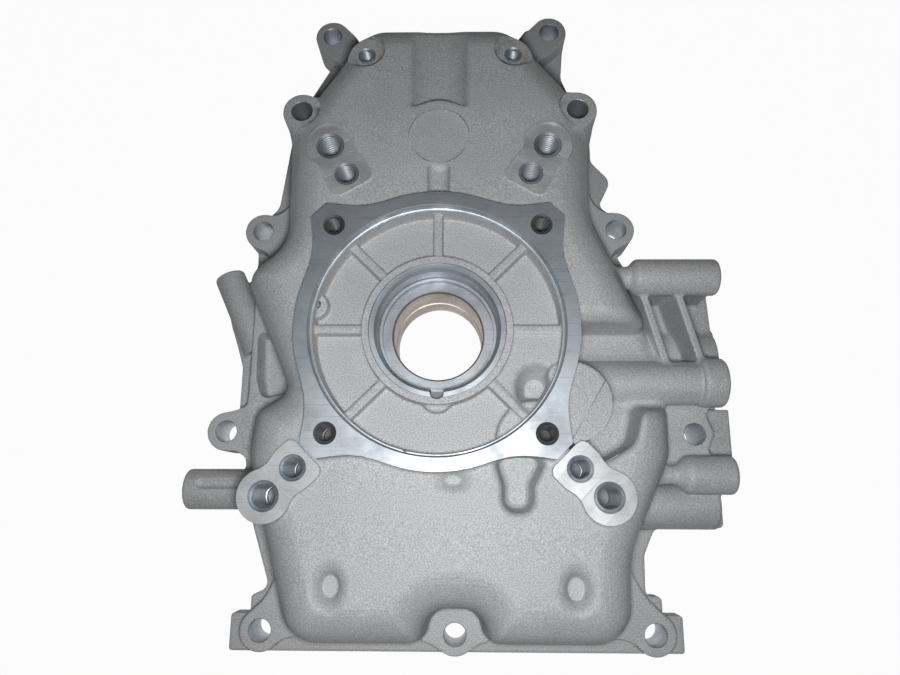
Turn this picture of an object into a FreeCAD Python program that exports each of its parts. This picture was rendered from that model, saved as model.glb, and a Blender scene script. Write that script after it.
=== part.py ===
# Crankcase cover of a horizontal-shaft engine, one die-cast aluminium piece with machined faces.
# Millimetres. The origin is on the crankshaft axis in the plane of the mating face.
# +Z points out of the engine, +Y towards the camshaft, and the cover rests on its mating face.
import os
from math import cos, radians, sin, sqrt, tan

import FreeCAD
import Part

# Casting: levels above the mating face, walls and draft
FLANGE_Z = 10.0            # top of the plain flange
EAR_Z = 20.0               # spot faces of the outer bolt ears
TOP_Z = 56.0               # cast top of the shell, above the crankshaft axis
TOP_SLOPE = 1.0            # degrees that the shell leans, so that its top rises towards +Y
WALL = 4.8                 # thickness of the shell
DRAFT = 8.0                # degrees, outer and inner walls of the shell
SHELL_LEVEL = 42.0         # height at which the outline of the shell is given
TOP_ROUND = 13.0           # radius of the round between wall and top
ROUND_STEPS = 2            # flats that make up that round
CAVITY_SHOULDER = 7.0      # slanting shoulder between wall and ceiling of the cavity

# Machined power take-off ring with its four tapped lobes
RING_Z = 62.0
RING_OUTER_R = 60.0
RING_INNER_R = 54.0
RECESS_Z = 50.0            # floor of the annular recess inside the ring
PILOT_R = 73.0             # turned tips of the lobes
LOBE_COUNT = 4
LOBE_SPREAD = 27.0         # degrees either side over which a lobe flares out of the ring
LOBE_FLARE_R = 36.0
LOBE_TIP_HALF = 4.6
LOBE_HOLE_R = 63.3         # radius of the circle of tapped holes
LOBE_TAP_R = 3.9
LOBE_TAP_DEPTH = 16.0

# Webs that cross the recess, and the ribs behind them inside the cavity
WEB_COUNT = 7              # none goes straight down
WEB_FIRST = -45.0
WEB_STEP = 45.0
WEB_WIDTH = 4.0
WEB_Z = 55.0
RIB_COUNT = 8
RIB_Z = 24.0               # lower edge of a rib at the bearing boss
RIB_END_Z = 43.0           # and at its far end
RIB_END_R = 66.0

# Crankshaft hub: oil seal bore and plain bearing
HUB_Z = 56.6
HUB_R = 32.5
HUB_CHAMFER_R = 29.2
SEAL_R = 26.0
SEAL_STEP_Z = 46.0
SEAT_R = 24.5
SEAT_Z = 42.6
BORE_R = 19.75
BEARING_R = 28.0           # boss round the plain bearing inside the cavity
BEARING_Z = 13.2           # inner end of that boss

# Four double mounting pads on two bolt circles
PAD_Z = 56.6
INNER_CIRCLE = 165.1
OUTER_CIRCLE = 196.85
INNER_TAP_R = 4.75
OUTER_TAP_R = 5.55
INNER_LOBE_R = 9.8
OUTER_LOBE_R = 11.0
TAP_DEPTH = 24.0
TAP_WALL = 4.5             # metal round and under a blind tapped hole
UPPER_ANGLES = (60.0, 120.0)
LOWER_ANGLES = (-45.0, 225.0)
SPOT_CLEAR = 3.0           # room cleared above the sunk upper pads

# Bolt holes through the ears and columns: x, y of each
EAR_R = 9.0
BOLT_R = 4.85
BOTTOM_LEFT = (-77.7, -126.7)
BOTTOM_MID = (7.5, -127.8)
BOTTOM_RIGHT = (94.4, -127.5)
LEFT_LOW = (-99.1, -40.3)
LEFT_HIGH = (-88.3, 58.8)
RIGHT_HIGH = (86.5, 59.3)
RIGHT_LOW = (114.9, -41.7)
TOP_LEFT = (-58.4, 169.2)
TOP_RIGHT = (56.6, 170.9)
SHOULDER_LEFT = (-64.0, 105.0)
SHOULDER_RIGHT = (64.0, 105.4)
SHOULDER_Z = 53.0
RIGHT_LOW_Z = 28.0

# Low ears: hole, direction of the tip, length back to the wall, half width at the wall
EARS = [
    (BOTTOM_LEFT, 222.0, 26.0, 30.0), (BOTTOM_MID, 270.0, 16.0, 24.0),
    (BOTTOM_RIGHT, 318.0, 26.0, 30.0), (LEFT_LOW, 185.0, 18.0, 18.0),
    (LEFT_HIGH, 165.0, 18.0, 20.0), (RIGHT_HIGH, 12.0, 16.0, 20.0),
    (TOP_LEFT, 120.0, 28.0, 24.0), (TOP_RIGHT, 60.0, 28.0, 24.0),
]
EAR_NECK = 0.5             # share of an ear's length over which it keeps its width

# Two small tapped bosses near the top edge
TAPPED_X = 34.6
TAPPED_Y = 134.0
TAPPED_BOSS_R = 8.5
TAPPED_R = 3.4
TAPPED_DEPTH = 20.0

# Camshaft housing above the ring
CAM_Y = 90.0
CAM_DISC_R = 13.7
CAM_DISC_DEPTH = 1.3
CAM_LAND_R = 17.0
CAM_BOSS_R = 15.0
CAM_BORE_R = 10.0
CAM_BOSS_Z = 26.0
CAM_BORE_TOP = 49.0
TROUGH_WIDTH = 27.0
TROUGH_DEPTH = 6.3
CHANNEL_WIDTH = 8.6
CHANNEL_DEPTH = 4.6

# Oil galleries on the right, which run out level to the filter face
GALLERY_END_X = 127.0
SHORT_END_X = 130.0
GALLERY_BORE_R = 4.0
GALLERY_BORE_DEPTH = 26.0
GALLERY_FOOT = 1.5         # how much narrower the wall under a gallery is
COLLAR_X = 116.0
COLLAR_R = 11.0
STRUT_WIDTH = 3.0          # slanting struts between the upper two galleries
STRUT_Z = 37.0
STRUT_LEAN = 9.5           # how far a strut moves right on its way down
STRUT_X = (90.5, 107.0)

# Left side: level gallery, and a slanting tube that comes out of the flange
LEFT_GALLERY_Y = -66.5
LEFT_GALLERY_Z = 14.0
LEFT_GALLERY_R = 9.2
LEFT_GALLERY_X = -116.5
LEFT_GALLERY_ROOT_X = -69.0
LEFT_GALLERY_WALL_X = -104.0
TUBE_TOP = (-107.0, 38.5)
TUBE_FOOT = (-89.0, 0.0)
TUBE_Z = 9.0
TUBE_R = 7.4

# Cutters and tilted bodies run on past the faces that they meet
OVER = 1.0
FOOT = 12.0
ABOVE = 70.0
WIDE = 300.0
SAME_POINT = 1e-6

# Outlines: x, y and corner radius, counter-clockwise
SHELL = [
    (-60.0, -127.5, 14.0), (-10.0, -127.5, 8.0), (-0.5, -113.7, 0.0), (15.5, -113.7, 0.0),
    (25.0, -127.5, 8.0), (79.0, -127.5, 14.0), (80.0, -93.0, 0.0), (101.0, -52.0, 10.0),
    (101.0, -10.0, 10.0), (69.0, 57.0, 0.0), (70.5, 109.0, 14.0), (35.0, 153.5, 18.0),
    (-37.0, 153.5, 18.0), (-71.0, 100.0, 14.0), (-69.5, 44.0, 0.0), (-88.0, 28.0, 10.0),
    (-64.5, -25.0, 0.0), (-79.0, -34.0, 0.0), (-81.0, -52.0, 14.0),
]
FLANGE = [
    (-94.0, -137.0, 0.0), (109.5, -137.0, 0.0), (109.5, -121.0, 0.0), (100.7, -121.0, 0.0),
    (100.7, -113.0, 0.0), (93.5, -113.0, 0.0), (94.0, -95.0, 0.0), (99.5, -83.0, 0.0),
    (131.0, -83.0, 0.0), (131.0, -51.5, 0.0), (136.0, -51.5, 0.0), (136.0, -29.0, 0.0),
    (131.5, -29.0, 0.0), (133.5, 9.0, 0.0), (130.0, 14.0, 0.0), (131.0, 37.0, 0.0),
    (95.0, 37.0, 0.0), (89.0, 48.0, 0.0), (89.0, 70.0, 0.0), (80.5, 76.0, 0.0),
    (87.5, 90.0, 0.0), (77.5, 101.0, 0.0), (77.5, 115.0, 0.0), (63.5, 150.0, 0.0),
    (65.5, 174.0, 0.0), (51.5, 178.0, 0.0), (46.0, 181.0, 0.0), (38.0, 170.0, 0.0),
    (22.0, 165.5, 0.0), (-22.0, 165.5, 0.0), (-52.0, 172.5, 0.0), (-65.5, 148.0, 0.0),
    (-78.0, 125.0, 0.0), (-84.0, 75.0, 0.0), (-94.0, 66.0, 0.0), (-93.0, 44.0, 0.0),
    (-104.0, 14.0, 0.0), (-97.0, -8.0, 0.0), (-97.0, -30.0, 0.0), (-92.0, -55.0, 0.0),
    (-87.0, -82.0, 0.0), (-77.5, -110.0, 0.0), (-85.3, -113.5, 0.0), (-85.3, -121.0, 0.0),
    (-94.0, -121.0, 0.0),
]

# Open pockets in the outside of the shell, each with the level of its floor
UPPER_POCKET = [(50.0, -12.0, 0.0), (97.0, -12.0, 0.0), (93.5, 1.5, 0.0), (50.0, 1.5, 0.0)]
UPPER_POCKET_Z = 33.0
GALLERY_POCKET = [(50.0, -32.0, 0.0), (112.0, -32.0, 0.0), (112.0, -9.5, 0.0), (50.0, -9.5, 0.0)]
LOWER_POCKET = [
    (60.0, -52.0, 0.0), (70.0, -51.5, 0.0), (81.0, -44.0, 0.0), (84.5, -31.0, 0.0),
    (60.0, -31.0, 0.0),
]
LOWER_POCKET_Z = 34.0
KEYHOLE = [
    (28.8, -73.5, 0.0), (37.5, -73.5, 0.0), (37.5, -64.5, 0.0), (42.0, -57.0, 0.0),
    (42.0, -50.0, 0.0), (26.0, -50.0, 0.0), (26.0, -57.0, 0.0), (28.8, -64.5, 0.0),
]
KEYHOLE_Z = 45.0
POCKET_DRAFT = 12.0
LEFT_POCKET = [
    (-83.0, -25.0, 0.0), (-72.5, -21.5, 0.0), (-83.5, 4.0, 0.0), (-86.5, 4.0, 0.0),
    (-85.5, -15.0, 0.0),
]
LEFT_POCKET_Z = 9.0
LEFT_POCKET_DRAFT = 6.0

# Dimples in the lower wall: x, y, half width and half height of the floor, level of the floor
DIMPLES = [
    (-42.3, -104.7, 3.2, 4.2, 47.0), (56.2, -105.2, 3.4, 4.5, 47.0), (7.0, -63.0, 3.4, 2.3, 50.5),
]
DIMPLE_DRAFT = 30.0

# Plates beside the shell, each with its top
LEFT_RIM = [
    (-90.5, -50.0, 0.0), (-68.0, -50.0, 0.0), (-58.0, -25.0, 0.0), (-83.5, 14.0, 0.0),
    (-90.0, 27.0, 0.0), (-90.0, -14.0, 30.0),
]
BOLT_PLATE = [
    (94.0, -56.0, 0.0), (122.5, -54.0, 0.0), (121.0, -48.0, 0.0), (124.5, -41.5, 6.0),
    (121.0, -34.0, 0.0), (123.5, -30.0, 0.0), (94.0, -26.0, 0.0),
]
STEP_PLATE = [(94.0, -51.5, 0.0), (136.0, -51.5, 0.0), (136.0, -29.0, 0.0), (94.0, -29.0, 0.0)]
STEP_PLATE_Z = 15.0
MIDDLE_PLATE = [(90.0, -30.0, 0.0), (131.5, -29.0, 0.0), (133.5, 9.0, 0.0), (90.0, 13.0, 0.0)]
MIDDLE_PLATE_Z = 20.0
HIGH_PLATE = [(86.0, 5.0, 0.0), (130.0, 10.0, 0.0), (130.5, 30.0, 0.0), (86.0, 32.0, 0.0)]
HIGH_PLATE_Z = 13.0

# Galleries on the right, from the top: start x, axis y, axis z, radius, end x
GALLERIES = [
    (92.0, 29.0, 36.5, 8.4, GALLERY_END_X), (66.0, -19.5, 34.0, 8.6, GALLERY_END_X),
    (105.0, -59.7, 29.5, 8.5, SHORT_END_X), (96.0, -72.8, 12.5, 9.8, GALLERY_END_X),
]

# Round pump boss, half under the ring
PUMP = (56.5, -30.3)
PUMP_R = 17.2
PUMP_Z = 52.0


def vec(x, y, z=0.0):
    return FreeCAD.Vector(x, y, z)


def polar(radius, angle):
    return radius * cos(radians(angle)), radius * sin(radians(angle))


def top_at(y):
    """Height of the cast top at y."""
    return TOP_Z + y * tan(radians(TOP_SLOPE))


def directions(points, index):
    """Unit vectors into and out of one corner of a closed outline."""
    before = points[index - 1]
    here = points[index]
    after = points[(index + 1) % len(points)]
    incoming = vec(here[0] - before[0], here[1] - before[1]).normalize()
    outgoing = vec(after[0] - here[0], after[1] - here[1]).normalize()
    return incoming, outgoing


def grown(points, distance):
    """The same outline moved outwards by a distance, with its corner radii as they were."""
    moved = []
    for index, (x, y, radius) in enumerate(points):
        incoming, outgoing = directions(points, index)
        bisector = vec(incoming.y + outgoing.y, -incoming.x - outgoing.x)
        reach = distance * 2.0 / bisector.Length
        bisector.normalize()
        moved.append((x + bisector.x * reach, y + bisector.y * reach, radius))
    return moved


def rounded_corner(points, index, z):
    """Where the round of a corner starts, its middle and where it ends."""
    incoming, outgoing = directions(points, index)
    x, y, radius = points[index]
    here = vec(x, y, z)
    if radius == 0.0:
        return here, None, here
    dot = incoming.dot(outgoing)
    back = radius * sqrt((1.0 - dot) / (1.0 + dot))
    inward = (outgoing - incoming).normalize()
    middle = here + inward * (sqrt(back * back + radius * radius) - radius)
    return here - incoming * back, middle, here + outgoing * back


def outline(points, z):
    """A closed wire through corner points x, y, radius."""
    corners = [rounded_corner(points, index, z) for index in range(len(points))]
    edges = []
    for index, (start, middle, end) in enumerate(corners):
        if middle is not None:
            edges.append(Part.Arc(start, middle, end).toShape())
        following = corners[(index + 1) % len(corners)][0]
        if not end.isEqual(following, SAME_POINT):
            edges.append(Part.LineSegment(end, following).toShape())
    return Part.Wire(edges)


def straight_cut(points):
    """The outline with a straight cut in place of each round."""
    cut = []
    for index in range(len(points)):
        start, middle, end = rounded_corner(points, index, 0.0)
        cut.append((start.x, start.y, 0.0))
        if middle is not None:
            cut.append((end.x, end.y, 0.0))
    return cut


def lofted(points, levels):
    """A solid through the same outline at several levels: height and distance moved inwards."""
    wires = [outline(grown(points, -inset), z) for z, inset in levels]
    return Part.makeLoft(wires, True, True)


def block(points, bottom, top, draft=0.0):
    """A solid on an outline given at its bottom, with walls that lean in towards the top."""
    if draft == 0.0:
        return Part.Face(outline(points, bottom)).extrude(vec(0, 0, top - bottom))
    return lofted(points, [(bottom, 0.0), (top, (top - bottom) * tan(radians(draft)))])


def rectangle(x0, y0, x1, y1):
    return [(x0, y0, 0.0), (x1, y0, 0.0), (x1, y1, 0.0), (x0, y1, 0.0)]


def column(x, y, radius, bottom, top):
    return Part.makeCylinder(radius, top - bottom, vec(x, y, bottom))


def square(x, y, half, bottom, top):
    return block(rectangle(x - half, y - half, x + half, y + half), bottom, top)


def bar(start, end, z, radius):
    """A round bar along a level line."""
    run = vec(end[0] - start[0], end[1] - start[1])
    return Part.makeCylinder(radius, run.Length, vec(start[0], start[1], z), run)


def turned(shape, angle, x=0.0, y=0.0):
    """A copy turned about the vertical and carried to x, y."""
    copy = shape.copy()
    copy.rotate(vec(0, 0, 0), vec(0, 0, 1), angle)
    copy.translate(vec(x, y, 0))
    return copy


def leaning(shape):
    """Leans a body so that its top rises towards the camshaft."""
    copy = shape.copy()
    copy.rotate(vec(0, 0, 0), vec(1, 0, 0), TOP_SLOPE)
    return copy


def wall_inset(z):
    """How far the drafted wall has moved inwards from the shell's outline at a height."""
    return (z - SHELL_LEVEL) * tan(radians(DRAFT))


def shell():
    """The body of the cover: a drafted wall that rounds over into a flat top."""
    centre_z = TOP_Z - TOP_ROUND
    centre_inset = wall_inset(centre_z) + TOP_ROUND / cos(radians(DRAFT))
    levels = [(-FOOT, wall_inset(-FOOT))]
    for step in range(ROUND_STEPS + 1):
        angle = radians(DRAFT + (90.0 - DRAFT) * step / ROUND_STEPS)
        levels.append((centre_z + TOP_ROUND * sin(angle), centre_inset - TOP_ROUND * cos(angle)))
    return leaning(lofted(SHELL, levels)).cut(square(0.0, 0.0, WIDE, -4 * FOOT, 0.0))


def ear(hole, towards, reach, spread):
    """A bolt ear: a round tip about the hole, flaring back into the wall behind it."""
    neck = reach * EAR_NECK
    points = [
        (-reach, spread, 0.0), (-reach, -spread, 0.0), (-neck, -EAR_R, 0.0),
        (EAR_R, -EAR_R, EAR_R), (EAR_R, EAR_R, EAR_R), (-neck, EAR_R, 0.0),
    ]
    return turned(block(points, 0.0, EAR_Z), towards, hole[0], hole[1])


def columns():
    """Tall bolt columns in the shoulders, the right-hand one and the two small tapped bosses."""
    tall = [column(x, y, EAR_R, 0.0, SHOULDER_Z) for x, y in (SHOULDER_LEFT, SHOULDER_RIGHT)]
    right = column(RIGHT_LOW[0], RIGHT_LOW[1], EAR_R, 0.0, RIGHT_LOW_Z)
    small = [column(x, TAPPED_Y, TAPPED_BOSS_R, FLANGE_Z, SHOULDER_Z) for x in (-TAPPED_X, TAPPED_X)]
    return tall + small + [right]


def pads(bottom, top, angles):
    """Two overlapping round lobes at each angle, one on each bolt circle."""
    inner = column(INNER_CIRCLE / 2, 0.0, INNER_LOBE_R, bottom, top)
    outer = column(OUTER_CIRCLE / 2, 0.0, OUTER_LOBE_R, bottom, top)
    pad = inner.fuse(outer).removeSplitter()
    return [turned(pad, angle) for angle in angles]


def lobe_angles():
    step = 360.0 / LOBE_COUNT
    return [45.0 + step * number for number in range(LOBE_COUNT)]


def ring():
    """The raised flange of the power take-off with its flaring lobes."""
    bottom = RECESS_Z - WALL
    root_x, root_y = polar(RING_OUTER_R, LOBE_SPREAD)
    shoulder = RING_OUTER_R * tan(radians(LOBE_SPREAD / 2))
    points = [
        (HUB_R, 0.0, 0.0), (root_x, -root_y, 0.0), (RING_OUTER_R, -shoulder, LOBE_FLARE_R),
        (PILOT_R, -LOBE_TIP_HALF, 0.0), (PILOT_R, LOBE_TIP_HALF, 0.0),
        (RING_OUTER_R, shoulder, LOBE_FLARE_R), (root_x, root_y, 0.0),
    ]
    lobe = block(points, bottom, RING_Z)
    lobes = [turned(lobe, angle) for angle in lobe_angles()]
    return column(0.0, 0.0, RING_OUTER_R, bottom, RING_Z).multiFuse(lobes)


def recess():
    """The annular hollow inside the ring."""
    return column(0.0, 0.0, RING_INNER_R, RECESS_Z, RING_Z + OVER)


def webs():
    """Webs that cross the recess from the hub to the ring."""
    half = WEB_WIDTH / 2
    web = block(rectangle(HUB_R - OVER, -half, RING_INNER_R + OVER, half), RECESS_Z - WALL, WEB_Z)
    return [turned(web, WEB_FIRST + WEB_STEP * number) for number in range(WEB_COUNT)]


def pump_boss():
    """The round boss that half disappears under the ring."""
    boss = column(PUMP[0], PUMP[1], PUMP_R, LOWER_POCKET_Z - OVER, PUMP_Z)
    return boss.cut(column(0.0, 0.0, RING_OUTER_R - OVER, 0.0, RING_Z))


def galleries():
    """Oil galleries that leave the shell to the right, over walls down to the flange."""
    bodies = []
    for start, y, z, radius, end in GALLERIES:
        foot = radius - GALLERY_FOOT
        bodies.append(bar((start, y), (end, y), z, radius))
        bodies.append(block(rectangle(start, y - foot, end, y + foot), 0.0, z))
    upper, middle = GALLERIES[0], GALLERIES[1]
    bodies.append(bar((COLLAR_X, middle[1]), (GALLERY_END_X, middle[1]), middle[2], COLLAR_R))
    for x in STRUT_X:
        foot = x + STRUT_LEAN
        strut = [
            (foot, middle[1], 0.0), (foot + STRUT_WIDTH, middle[1], 0.0),
            (x + STRUT_WIDTH, upper[1], 0.0), (x, upper[1], 0.0),
        ]
        bodies.append(block(strut, 0.0, STRUT_Z))
    return bodies


def left_side():
    """Level gallery and slanting tube on the left, with the rim beside the shell."""
    half = LEFT_GALLERY_R - GALLERY_FOOT
    start = (LEFT_GALLERY_X, LEFT_GALLERY_Y)
    root = LEFT_GALLERY_ROOT_X
    wall = rectangle(
        LEFT_GALLERY_WALL_X, LEFT_GALLERY_Y - half, root, LEFT_GALLERY_Y + half,
    )
    return [
        bar(start, (root, LEFT_GALLERY_Y), LEFT_GALLERY_Z, LEFT_GALLERY_R),
        block(wall, 0.0, LEFT_GALLERY_Z),
        bar(TUBE_TOP, TUBE_FOOT, TUBE_Z, TUBE_R),
        block(LEFT_RIM, 0.0, EAR_Z),
    ]


def plates():
    """The flange and the flat plates beside the shell."""
    return [
        block(FLANGE, 0.0, FLANGE_Z), block(BOLT_PLATE, 0.0, RIGHT_LOW_Z),
        block(STEP_PLATE, 0.0, STEP_PLATE_Z), block(MIDDLE_PLATE, 0.0, MIDDLE_PLATE_Z),
        block(HIGH_PLATE, 0.0, HIGH_PLATE_Z),
    ]


def trough():
    """The round-bottomed channel from the cam housing to the top edge."""
    radius = (TROUGH_WIDTH ** 2 / 4 + TROUGH_DEPTH ** 2) / (2 * TROUGH_DEPTH)
    axis_z = top_at(TAPPED_Y) - TROUGH_DEPTH + radius
    land = column(0.0, CAM_Y, CAM_LAND_R, 0.0, ABOVE)
    return bar((0.0, CAM_Y), (0.0, TOP_RIGHT[1]), axis_z, radius).cut(land)


def channel():
    """The narrow channel from the cam housing down to the ring."""
    half = CHANNEL_WIDTH / 2
    floor = top_at(CAM_Y) - CHANNEL_DEPTH
    return block(rectangle(-half, 0.0, half, CAM_Y - CAM_DISC_R + OVER), floor, ABOVE)


def dimple(x, y, half_x, half_y, floor):
    """A funnel that spreads towards the outer surface."""
    mouth = rectangle(x - half_x, y - half_y, x + half_x, y + half_y)
    return block(mouth, floor, top_at(y) + OVER, -DIMPLE_DRAFT)


def outer_hollows():
    """Everything that the casting die leaves open on the outside."""
    disc_z = top_at(CAM_Y) - CAM_DISC_DEPTH
    hollows = [
        trough(), column(0.0, CAM_Y, CAM_DISC_R, disc_z, ABOVE),
        block(UPPER_POCKET, UPPER_POCKET_Z, ABOVE, -POCKET_DRAFT),
        block(LOWER_POCKET, LOWER_POCKET_Z, ABOVE, -POCKET_DRAFT),
        block(GALLERY_POCKET, LOWER_POCKET_Z, ABOVE, -POCKET_DRAFT),
        block(KEYHOLE, KEYHOLE_Z, ABOVE, -POCKET_DRAFT),
        block(LEFT_POCKET, LEFT_POCKET_Z, EAR_Z + OVER, -LEFT_POCKET_DRAFT),
    ]
    hollows += [dimple(*values) for values in DIMPLES]
    outside_ring = column(0.0, 0.0, RING_OUTER_R, 0.0, ABOVE)
    return [hollow.cut(outside_ring) for hollow in hollows + [channel()]]


def under(points, floor):
    """Metal that stands under an outer pocket, a wall wider than the pocket."""
    return block(grown(straight_cut(points), WALL), floor - WALL, ABOVE)


def tapped_bosses():
    """Metal round the blind tapped holes, where it hangs from the ceiling of the cavity."""
    half = OUTER_TAP_R + TAP_WALL
    pad = rectangle(INNER_CIRCLE / 2 - half, -half, OUTER_CIRCLE / 2 + half, half)
    pad_boss = block(pad, PAD_Z - TAP_DEPTH - TAP_WALL, ABOVE)
    bosses = [turned(pad_boss, angle) for angle in UPPER_ANGLES + LOWER_ANGLES]
    half = LOBE_TAP_R + TAP_WALL
    lobe = rectangle(RING_INNER_R, -half, LOBE_HOLE_R + half, half)
    lobe_boss = block(lobe, RING_Z - LOBE_TAP_DEPTH - TAP_WALL, ABOVE)
    bosses += [turned(lobe_boss, angle) for angle in lobe_angles()]
    bottom = SHOULDER_Z - TAPPED_DEPTH - TAP_WALL
    bosses += [square(x, TAPPED_Y, TAPPED_BOSS_R, bottom, ABOVE) for x in (-TAPPED_X, TAPPED_X)]
    return bosses


def inner_ribs():
    """Ribs under the ring, from the bearing boss out, that grow shallower as they go."""
    inner = BEARING_R - OVER
    profile = Part.makePolygon([
        vec(inner, 0, RIB_Z), vec(RIB_END_R, 0, RIB_END_Z), vec(RIB_END_R, 0, TOP_Z),
        vec(inner, 0, TOP_Z), vec(inner, 0, RIB_Z),
    ])
    rib = Part.Face(profile).extrude(vec(0, WEB_WIDTH, 0))
    rib.translate(vec(0, -WEB_WIDTH / 2, 0))
    step = 360.0 / RIB_COUNT
    return [turned(rib, step * (number + 0.5)) for number in range(RIB_COUNT)]


def inner_metal():
    """Metal inside the cavity, under the outer hollows and round the bores and bolt holes."""
    trough_z = top_at(TAPPED_Y) - TROUGH_DEPTH - WALL
    channel_z = top_at(CAM_Y) - CHANNEL_DEPTH - WALL
    half_trough = TROUGH_WIDTH / 2 + WALL
    half_channel = CHANNEL_WIDTH / 2 + WALL
    start, y, z, radius = GALLERIES[1][:4]
    metal = [
        column(0.0, 0.0, RING_INNER_R + WALL, RECESS_Z - WALL, ABOVE),
        column(0.0, 0.0, BEARING_R, BEARING_Z, ABOVE),
        column(0.0, CAM_Y, CAM_BOSS_R, CAM_BOSS_Z, ABOVE),
        block(rectangle(-half_trough, CAM_Y, half_trough, TOP_RIGHT[1]), trough_z, ABOVE),
        block(rectangle(-half_channel, 0.0, half_channel, CAM_Y), channel_z, ABOVE),
        under(UPPER_POCKET, UPPER_POCKET_Z),
        under(LOWER_POCKET, LOWER_POCKET_Z),
        under(GALLERY_POCKET, LOWER_POCKET_Z),
        under(KEYHOLE, KEYHOLE_Z),
        block(rectangle(start, y - radius, COLLAR_X, y + radius), z - radius, ABOVE),
    ]
    for x, y, half_x, half_y, floor in DIMPLES:
        wide, high = half_x + 2 * WALL, half_y + 2 * WALL
        metal.append(block(rectangle(x - wide, y - high, x + wide, y + high), floor - WALL, ABOVE))
    metal += [square(x, y, EAR_R, 0.0, ABOVE) for x, y in (SHOULDER_LEFT, SHOULDER_RIGHT)]
    return metal + tapped_bosses() + inner_ribs()


def cavity():
    """The hollow inside the cover, open at the mating face."""
    shoulder_z = TOP_Z - WALL - CAVITY_SHOULDER
    levels = [
        (-FOOT, wall_inset(-FOOT)), (shoulder_z, wall_inset(shoulder_z)),
        (TOP_Z - WALL, wall_inset(TOP_Z - WALL) + CAVITY_SHOULDER),
    ]
    return leaning(lofted(straight_cut(grown(SHELL, -WALL)), levels)).cut(inner_metal())


def bearing_bores():
    """Seal bore, shoulder and plain bearing, turned about the crankshaft axis."""
    chamfer = HUB_CHAMFER_R - SEAL_R
    profile = [
        (0.0, 0.0), (BORE_R, 0.0), (BORE_R, SEAT_Z), (SEAT_R, SEAT_Z), (SEAT_R, SEAL_STEP_Z),
        (SEAL_R, SEAL_STEP_Z), (SEAL_R, HUB_Z - chamfer), (HUB_CHAMFER_R, HUB_Z),
        (HUB_CHAMFER_R, HUB_Z + OVER), (0.0, HUB_Z + OVER), (0.0, 0.0),
    ]
    face = Part.Face(Part.makePolygon([vec(radius, 0, z) for radius, z in profile]))
    return face.revolve(vec(0, 0, 0), vec(0, 0, 1), 360)


def tapped_holes():
    """Blind holes in the pads, in the lobes of the ring and in the two small bosses."""
    cuts = []
    for angle in UPPER_ANGLES + LOWER_ANGLES:
        for circle, radius in ((INNER_CIRCLE, INNER_TAP_R), (OUTER_CIRCLE, OUTER_TAP_R)):
            x, y = polar(circle / 2, angle)
            cuts.append(column(x, y, radius, PAD_Z - TAP_DEPTH, PAD_Z + OVER))
    for angle in lobe_angles():
        x, y = polar(LOBE_HOLE_R, angle)
        cuts.append(column(x, y, LOBE_TAP_R, RING_Z - LOBE_TAP_DEPTH, RING_Z + OVER))
    for x in (-TAPPED_X, TAPPED_X):
        cuts.append(column(x, TAPPED_Y, TAPPED_R, SHOULDER_Z - TAPPED_DEPTH, SHOULDER_Z))
        cuts.append(column(x, TAPPED_Y, TAPPED_BOSS_R, SHOULDER_Z, ABOVE))
    return cuts


def bolt_holes():
    """Through holes of the eleven cover bolts, with spot faces where a column ends in the shell."""
    low = [values[0] for values in EARS] + [RIGHT_LOW]
    cuts = [column(x, y, BOLT_R, -OVER, RIGHT_LOW_Z + OVER) for x, y in low]
    for x, y in (SHOULDER_LEFT, SHOULDER_RIGHT):
        cuts.append(column(x, y, BOLT_R, -OVER, SHOULDER_Z))
        cuts.append(column(x, y, EAR_R, SHOULDER_Z, ABOVE))
    return cuts


def gallery_bore():
    """Blind bore of the collared gallery, from its end on the right."""
    y, z = GALLERIES[1][1:3]
    start = (GALLERY_END_X - GALLERY_BORE_DEPTH, y)
    return bar(start, (GALLERY_END_X + OVER, y), z, GALLERY_BORE_R)


def machined():
    """All that is cut after casting."""
    cam_bore = column(0.0, CAM_Y, CAM_BORE_R, CAM_BOSS_Z - OVER, CAM_BORE_TOP)
    spot_faces = pads(PAD_Z, PAD_Z + SPOT_CLEAR, UPPER_ANGLES)
    cuts = [bearing_bores(), cam_bore] + spot_faces
    return cuts + tapped_holes() + bolt_holes() + [gallery_bore()]


def crankcase_cover():
    """The casting outside, then hollowed, then machined."""
    low_pads = pads(EAR_Z, PAD_Z, LOWER_ANGLES)
    ears = [ear(*values) for values in EARS]
    body = shell().multiFuse(plates() + ears + columns() + low_pads + left_side() + [ring()])
    body = body.cut(outer_hollows() + [recess()])
    hub = column(0.0, 0.0, HUB_R, RECESS_Z - WALL, HUB_Z)
    body = body.multiFuse(webs() + galleries() + [hub, pump_boss()])
    body = body.cut(cavity())
    return body.cut(machined()).removeSplitter()


if __name__ == "__main__":
    os.makedirs("parts", exist_ok=True)
    crankcase_cover().exportStep("parts/crankcase_cover.step")
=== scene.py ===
from math import atan2, ceil, cos, degrees, pi, radians, sin, sqrt, tan

import bpy
import numpy as np
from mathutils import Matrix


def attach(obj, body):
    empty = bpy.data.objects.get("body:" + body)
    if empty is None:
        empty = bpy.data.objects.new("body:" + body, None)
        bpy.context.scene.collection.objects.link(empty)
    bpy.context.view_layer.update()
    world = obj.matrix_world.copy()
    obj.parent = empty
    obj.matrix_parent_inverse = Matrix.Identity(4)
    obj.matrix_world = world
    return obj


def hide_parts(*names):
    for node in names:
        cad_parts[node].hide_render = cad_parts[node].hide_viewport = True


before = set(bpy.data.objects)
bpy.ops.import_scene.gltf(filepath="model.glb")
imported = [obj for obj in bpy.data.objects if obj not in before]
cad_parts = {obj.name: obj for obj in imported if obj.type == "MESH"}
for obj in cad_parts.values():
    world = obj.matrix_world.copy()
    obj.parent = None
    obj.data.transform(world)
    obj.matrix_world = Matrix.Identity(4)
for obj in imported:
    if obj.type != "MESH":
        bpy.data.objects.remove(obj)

import openvdb
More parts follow.
